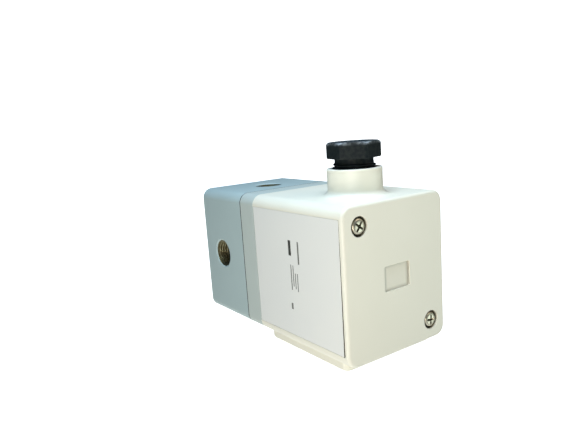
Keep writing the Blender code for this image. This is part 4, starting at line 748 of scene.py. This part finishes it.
def labelPlate(v):
    # thin rounded rectangle with its front edge eased, its top edge a little slanted: height
    # above the middle falls in proportion to x
    ease = arc(0, 0, v["edge"], 0, 90, 3)
    inset = np.concatenate([[0.0], v["edge"] - ease[:, 0]])
    depth = np.concatenate([[0.0], v["thickness"] - v["edge"] + ease[:, 1]])
    halfZ = (v["highLeft"] - v["low"]) / 2
    flat = oblongRings(v["halfX"] - inset, halfZ - inset, 0.4 - inset * 0.5, depth, 4)
    x, z = flat[..., 0], flat[..., 1]
    slant = (v["highLeft"] - v["highRight"]) * (x + v["halfX"]) / (2 * v["halfX"]) * (z > 0)
    points = np.stack([x, v["face"] + v["thickness"] - flat[..., 2],
                       v["low"] + halfZ + z - slant], 2)
    return finishPiece(ringPiece("label_face", mm * points), labelFinish, "housing",
                       "label_plate", 40)


labelPlate(label)
print("label plate made")


# the hexagon nut of the gland

gland = {"z": 83.05, "threadStart": 37.9, "threadEnd": 42.7, "headFrom": 44.4, "headTo": 50.8,
         "threadRoot": 7.75, "threadHeight": 0.85, "pitch": 1.5, "neck": 7.7, "bore": 4.8,
         "flats": 19.0, "turnDegrees": 13.0, "crown": 1.4, "soften": 46, "blunt": 60,
         # the cone's fall at the head's end and at its foot as (fall, height, power)
         "chamfer": (1.25, 1.15, 1.7), "footChamfer": (0.55, 0.45, 1.5)}


def glandNut(v):
    sides = 240
    # thread: see threadRadius
    along = np.arange(v["threadStart"], v["threadEnd"], 0.125)
    thread = threadRadius(along, sides, v["threadRoot"], v["threadHeight"], v["pitch"],
                          v["threadStart"], v["threadEnd"], 0.9)
    # head: at each angle and height the smaller of the hexagon's reach and a cone's reach. The
    # hexagon's is its half width over a high power mean of the six flats' cosines, which rounds it.
    angle = np.arange(sides) * math.tau / sides - math.radians(v["turnDegrees"])
    flats = np.maximum(np.cos(angle[:, None] - np.arange(6) * math.pi / 3), 1e-6)
    reach = v["flats"] / 2 / (flats ** v["soften"]).sum(1) ** (1 / v["soften"])
    deep = v["headTo"] - v["headFrom"]
    across = np.concatenate([[0.0, 0.12, 0.3], np.linspace(0.6, deep - 1.6, 6),
                             deep - v["crown"] + v["crown"] * np.sin(
                                 np.linspace(0, math.pi / 2, 10))])
    cone = v["flats"] / math.sqrt(3) + 0.05
    for (fall, height, power), level in ((v["chamfer"], deep - across),
                                         (v["footChamfer"], across)):
        cone = cone - fall * np.clip(1 - level / height, 0, 1) ** power
    head = (reach ** -v["blunt"] + cone[:, None] ** -v["blunt"]) ** (-1 / v["blunt"])
    one = np.ones(sides)
    lip = arc(v["bore"] + 0.5, v["headTo"] - 0.5, 0.5, 90, 180, 4)
    radius = np.concatenate([
        thread, np.outer([v["neck"], v["neck"], v["neck"] + 0.12], one), head,
        np.outer(np.concatenate([[8.6], lip[:, 0], [v["bore"], v["bore"] + 0.4]]), one)])
    distance = np.concatenate([
        along, [v["threadEnd"] + 0.1, v["headFrom"] - 0.12, v["headFrom"] - 0.02],
        v["headFrom"] + across, [v["headTo"]], lip[:, 1],
        [v["threadStart"] + 0.4, v["threadStart"]]])
    nut = ringPiece("gland_cap_nut", mm * turnedRings(radius, distance, sides, (0, 0, v["z"]),
                                                      "left"), loop=True)
    return finishPiece(nut, nylon, "gland_nut", "gland_nut", 40)


glandNut(gland)
print("gland nut made")


# the two screws in the end face

screw = {"places": [(-22.0, -18.0), (22.0, 18.0)], "seat": 102.15, "headRadius": 2.9,
         "headSide": 1.45, "headHeight": 2.25, "shank": 1.45, "end": 39.15, "pitch": 0.5,
         "crossReach": 2.1, "crossHalf": 0.46, "crossDepth": 1.5, "crossTurns": [55.0, 86.0],
         "threadDepth": 0.25, "threadHeight": 0.28}


def coverScrew(v, number):
    x, y = v["places"][number - 1]
    # head: flat underneath, a straight side, then over the top the radius falls as a low power of
    # the cosine while the height rises as the sine
    rise = np.radians(np.linspace(0, 86, 12))
    headR = np.concatenate([[v["headRadius"] - 0.15, v["headRadius"]],
                            v["headRadius"] * np.cos(rise) ** 0.5])
    headZ = np.concatenate([[0.0, 0.2],
                            v["headSide"] + (v["headHeight"] - v["headSide"]) * np.sin(rise)])
    along = np.arange(v["end"] + 0.6, v["seat"] - 1.0, v["pitch"] / 4)
    sides, root = 48, v["shank"] - v["threadDepth"]
    thread = threadRadius(along, sides, root, v["threadHeight"], v["pitch"],
                          v["end"] + 0.6, v["seat"] - 36, 1.0)
    one = np.ones(sides)
    radius = np.concatenate([np.outer([0.7], one), thread,
                             np.outer([root, v["shank"]], one), np.outer(headR, one)])
    height = np.concatenate([[v["end"]], along, [v["seat"] - 0.9, v["seat"]], v["seat"] + headZ])
    piece = ringPiece(f"cover_screw_cross_{number}",
                      mm * turnedRings(radius, height, sides, (x, y, 0)))
    # cross recess: a star whose reach is the smaller of the wing's length and its half width over
    # the sine of the angle from the wing, shrinking with depth
    star = 96
    angle = np.arange(star) * math.tau / star
    fromWing = np.abs((angle + math.pi / 4) % (math.pi / 2) - math.pi / 4)
    share = np.array([1.12, 1.0, 0.72, 0.3])
    drop = np.array([-0.5, 0.0, v["crossDepth"] * 0.62, v["crossDepth"]])
    wing = np.minimum(v["crossReach"] * share[:, None],
                      (v["crossHalf"] * (0.55 + 0.45 * share))[:, None]
                      / np.maximum(np.sin(fromWing), 1e-3))
    wing = np.maximum(wing, 0.62 * share[:, None])
    points = mm * turnedRings(wing, v["seat"] + v["headHeight"] - drop, star, (0, 0, 0))
    turn = np.radians(v["crossTurns"][number - 1])
    spin = np.array([[math.cos(turn), -math.sin(turn), 0],
                     [math.sin(turn), math.cos(turn), 0], [0, 0, 1]])
    points = points @ spin.T + mm * np.array([x, y, 0])
    combine(piece, [ringPiece("cross", points)], "DIFFERENCE")
    return finishPiece(piece, platedScrew, "housing", f"cover_screw_{number}", 30)


for number in (1, 2):
    coverScrew(screw, number)
print("cover screws made")


# wound springs

valveSpring = {"name": "valve_spring_wound", "replaces": "valve_spring", "place": (0.0, 0.0),
               "coil": 5.8, "wire": 0.45, "low": 8.9, "high": 16.3, "turns": 5.5,
               "joint": "poppet_lift", "anchor": 8.9, "keep": 0.838}
pilotSprings = [{"name": f"{side}_return_spring_wound", "replaces": f"{side}_return_spring",
                 "place": (x, -5.0), "coil": 1.25, "wire": 0.2, "low": 63.45, "high": 68.65,
                 "turns": 8.0, "joint": f"{side}_plunger_lift", "anchor": 68.65, "keep": 0.904}
                for side, x in (("supply", -8.3), ("exhaust", 8.3))]


def coilSpring(v):
    # a circle of the wire carried along a helix. It rises one wire width in each end turn, so the
    # ends lie closed, and evenly between them.
    steps = int(v["turns"] * 28)
    turn = np.linspace(0, v["turns"], steps + 1)
    low, high, width = v["low"] + v["wire"], v["high"] - v["wire"], 2 * v["wire"] * 1.03
    rise = np.interp(turn, [0, 1, v["turns"] - 1, v["turns"]],
                     [low, low + width, high - width, high])
    kernel = np.hanning(11) / np.hanning(11).sum()
    rise = np.convolve(np.pad(rise, 5, mode="edge"), kernel, mode="valid")
    around = np.arange(12) * math.tau / 12
    wire = v["wire"] * np.minimum(1, 0.35 + np.minimum(turn, v["turns"] - turn) * 14)[:, None]
    reach = v["coil"] + wire * np.cos(around)
    height = rise[:, None] + wire * np.sin(around)
    angle = turn[:, None] * math.tau
    points = np.stack([v["place"][0] + reach * np.cos(angle), v["place"][1] + reach * np.sin(angle),
                       height], 2)
    piece = finishPiece(ringPiece(v["name"], mm * points), springSteel, "housing",
                        v["replaces"], 60)
    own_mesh(piece)


for spring in [valveSpring, *pilotSprings]:
    coilSpring(spring)
print("springs wound")


# rubber: the diaphragm and the gland bush

diaphragm = {"hole": 2.3, "webLow": 34.55, "webHigh": 35.35, "foldInner": 12.1, "foldWidth": 4.2,
             "foldHeight": 1.6, "rimInner": 17.3, "rimOuter": 20.7, "rimLow": 34.45,
             "rimHigh": 35.45, "moves": 12.0, "still": 17.0}


def rollingDiaphragm(v):
    # profile turned round Z: flat web, one fold shaped as a raised cosine, thicker clamped rim
    share = np.linspace(0, 1, 25)
    fold = v["foldInner"] + v["foldWidth"] * share
    lift = v["foldHeight"] * (1 - np.cos(math.tau * share)) / 2
    under = np.stack([fold, v["webLow"] + lift], 1)
    over = np.stack([fold, v["webHigh"] + lift], 1)[::-1]
    profile = np.concatenate([
        [[v["hole"], v["webLow"]]], under,
        [[v["rimInner"], v["webLow"]], [v["rimInner"], v["rimLow"]], [v["rimOuter"], v["rimLow"]],
         [v["rimOuter"], v["rimHigh"]], [v["rimInner"], v["rimHigh"]],
         [v["rimInner"], v["webHigh"]]],
        over, [[v["hole"], v["webHigh"]]]])
    piece = ringPiece("rolling_diaphragm", mm * turnedRings(profile[:, 0], profile[:, 1], 96),
                      loop=True)
    dressPiece(piece, rubber, "diaphragm")
    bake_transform(piece)
    # the web moves with the rod in the middle and is held at its rim all round; the share that
    # stays still is worked out by the distance from the axis, but nothing uses it
    places = np.zeros(len(piece.data.vertices) * 3)
    piece.data.vertices.foreach_get("co", places)
    reach = np.hypot(*places.reshape(-1, 3)[:, :2].T) / mm
    share = np.clip((reach - v["moves"]) / (v["still"] - v["moves"]), 0, 1)
    share = share * share * (3 - 2 * share)


bush = {"z": 83.05, "from": 30.3, "to": 36.3, "outer": 8.55, "hole": 4.3, "ease": 0.5}


def glandBush(v):
    # thick rubber ring with its edges rounded
    e = v["ease"]
    profile = np.concatenate([
        arc(v["outer"] - e, v["from"] + e, e, -90, 0, 4),
        arc(v["outer"] - e, v["to"] - e, e, 0, 90, 4),
        arc(v["hole"] + e, v["to"] - e, e, 90, 180, 4),
        arc(v["hole"] + e, v["from"] + e, e, 180, 270, 4)])
    piece = ringPiece("gland_bush_rounded", mm * turnedRings(profile[:, 0], profile[:, 1], 96,
                                                             (0, 0, v["z"]), "left"), loop=True)
    finishPiece(piece, rubber, "housing", "gland_bush")
    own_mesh(piece)


rollingDiaphragm(diaphragm)
glandBush(bush)
print("diaphragm and gland bush made")


# floor, light and camera

studio = {
    "floor": "#FFFFFF", "floorGlow": 0.8, "floorReach": 1.5, "floorZ": -0.0001, "floorPoints": 9,
    # light of each wall of the studio as linear red, green and blue: strongest straight on,
    # falling with the cosine of the angle from it
    "walls": {(-1, 0, 0): (0.0, 0.061, 0.145), (1, 0, 0): (1.19, 1.272, 1.326)},
    # soft lamps as place, size, watts of red, green and blue, and the point that they face
    "lamps": {"top": ((-0.25, 0.12, 0.25), 0.15, (0.222, 0.180, 0.140)),
              "port": ((0.10, -0.25, 0.10), 0.10, (0.138, 0.150, 0.156)),
              "left": ((-0.25, 0.0, 0.15), 0.10, (0.122, 0.149, 0.180)),
              "gland": ((-0.20, -0.05, 0.10), 0.10, (0.313, 0.383, 0.461)),
              "back": ((0.08, 0.28, 0.42), 0.25, (0.371, 0.443, 0.424)),
              "front": ((0.02, -0.20, 0.22), 0.08, (0.291, 0.271, 0.246))},
    "aim": (0, 0, 0.07),
}
view = {
    "lens": 34.885, "sensor": 36.0, "near": 0.01, "place": (-0.0608484, -0.1482434, 0.248936),
    # the picture's own directions in the part's frame
    "right": (0.067871, 0.813081, 0.578181), "down": (0.982983, -0.153649, 0.100683),
    "forward": (0.1707, 0.561509, -0.809672),
}


def floorSheet(v):
    # a square of paper just under the part
    count = v["floorPoints"]
    span = np.linspace(-v["floorReach"], v["floorReach"], count)
    x, y = np.meshgrid(span, span)
    points = np.stack([x, y, np.full_like(x, v["floorZ"])], 2).reshape(-1, 3)
    corner = (np.arange(count - 1)[:, None] * count + np.arange(count - 1)).ravel()
    faces = np.stack([corner, corner + 1, corner + count + 1, corner + count], 1)
    mesh = bpy.data.meshes.new("studio_floor")
    mesh.from_pydata(points.tolist(), [], faces.tolist())
    floor = bpy.data.objects.new("studio_floor", mesh)
    bpy.context.scene.collection.objects.link(floor)
    mesh.materials.append(newMaterial("matt_white_paper", {
        "Roughness": 0.9, "Base Color": linearColour(v["floor"]),
        "Emission Color": linearColour(v["floor"]), "Emission Strength": v["floorGlow"]})[0])
    floor.visible_diffuse = False    # the paper doesn't light the part from below
    floor.visible_glossy = False


floorSheet(studio)

world = bpy.data.worlds.new("studio")
bpy.context.scene.world = world
world.use_nodes = True
direction = addNode(world, "ShaderNodeTexCoord").outputs["Generated"]
total = None
for way, light in studio["walls"].items():
    facing = addNode(world, "ShaderNodeVectorMath", {"operation": "DOT_PRODUCT", 1: way},
                     {0: direction})
    share = addNode(world, "ShaderNodeMath", {"operation": "MAXIMUM", 1: 0.0},
                    {0: facing.outputs["Value"]})
    added = addNode(world, "ShaderNodeVectorMath", {"operation": "MULTIPLY_ADD", 0: light},
                    {1: share.outputs[0]})
    if total:
        world.node_tree.links.new(total, added.inputs[2])
    total = added.outputs["Vector"]
seen = addNode(world, "ShaderNodeLightPath").outputs["Is Camera Ray"]
shown = addNode(world, "ShaderNodeMix", {"data_type": "RGBA", 7: linearColour(studio["floor"])},
                {0: seen, 6: total})
world.node_tree.links.new(shown.outputs[2], world.node_tree.nodes["Background"].inputs["Color"])

for name, (place, size, watts) in studio["lamps"].items():
    data = bpy.data.lights.new(name, "AREA")
    data.shape = "SQUARE"
    data.size = size
    data.energy = max(watts)
    data.color = [part / max(watts) for part in watts]
    lamp = bpy.data.objects.new(name, data)
    bpy.context.scene.collection.objects.link(lamp)
    lamp.visible_camera = False
    lamp.matrix_world = (Matrix.Translation(Vector(place)) @ (
        Vector(studio["aim"]) - Vector(place)).to_track_quat("-Z", "Y").to_matrix().to_4x4())

camera = bpy.data.objects.new("camera", bpy.data.cameras.new("camera"))
bpy.context.scene.collection.objects.link(camera)
camera.data.lens = view["lens"]
camera.data.sensor_width = view["sensor"]
camera.data.clip_start = view["near"]
turn = Matrix((Vector(view["right"]), -Vector(view["down"]), -Vector(view["forward"])))
camera.matrix_world = Matrix.Translation(Vector(view["place"])) @ turn.transposed().to_4x4()
bpy.context.scene.camera = camera
bpy.context.scene.view_settings.view_transform = "Standard"
print("floor, light and camera set")
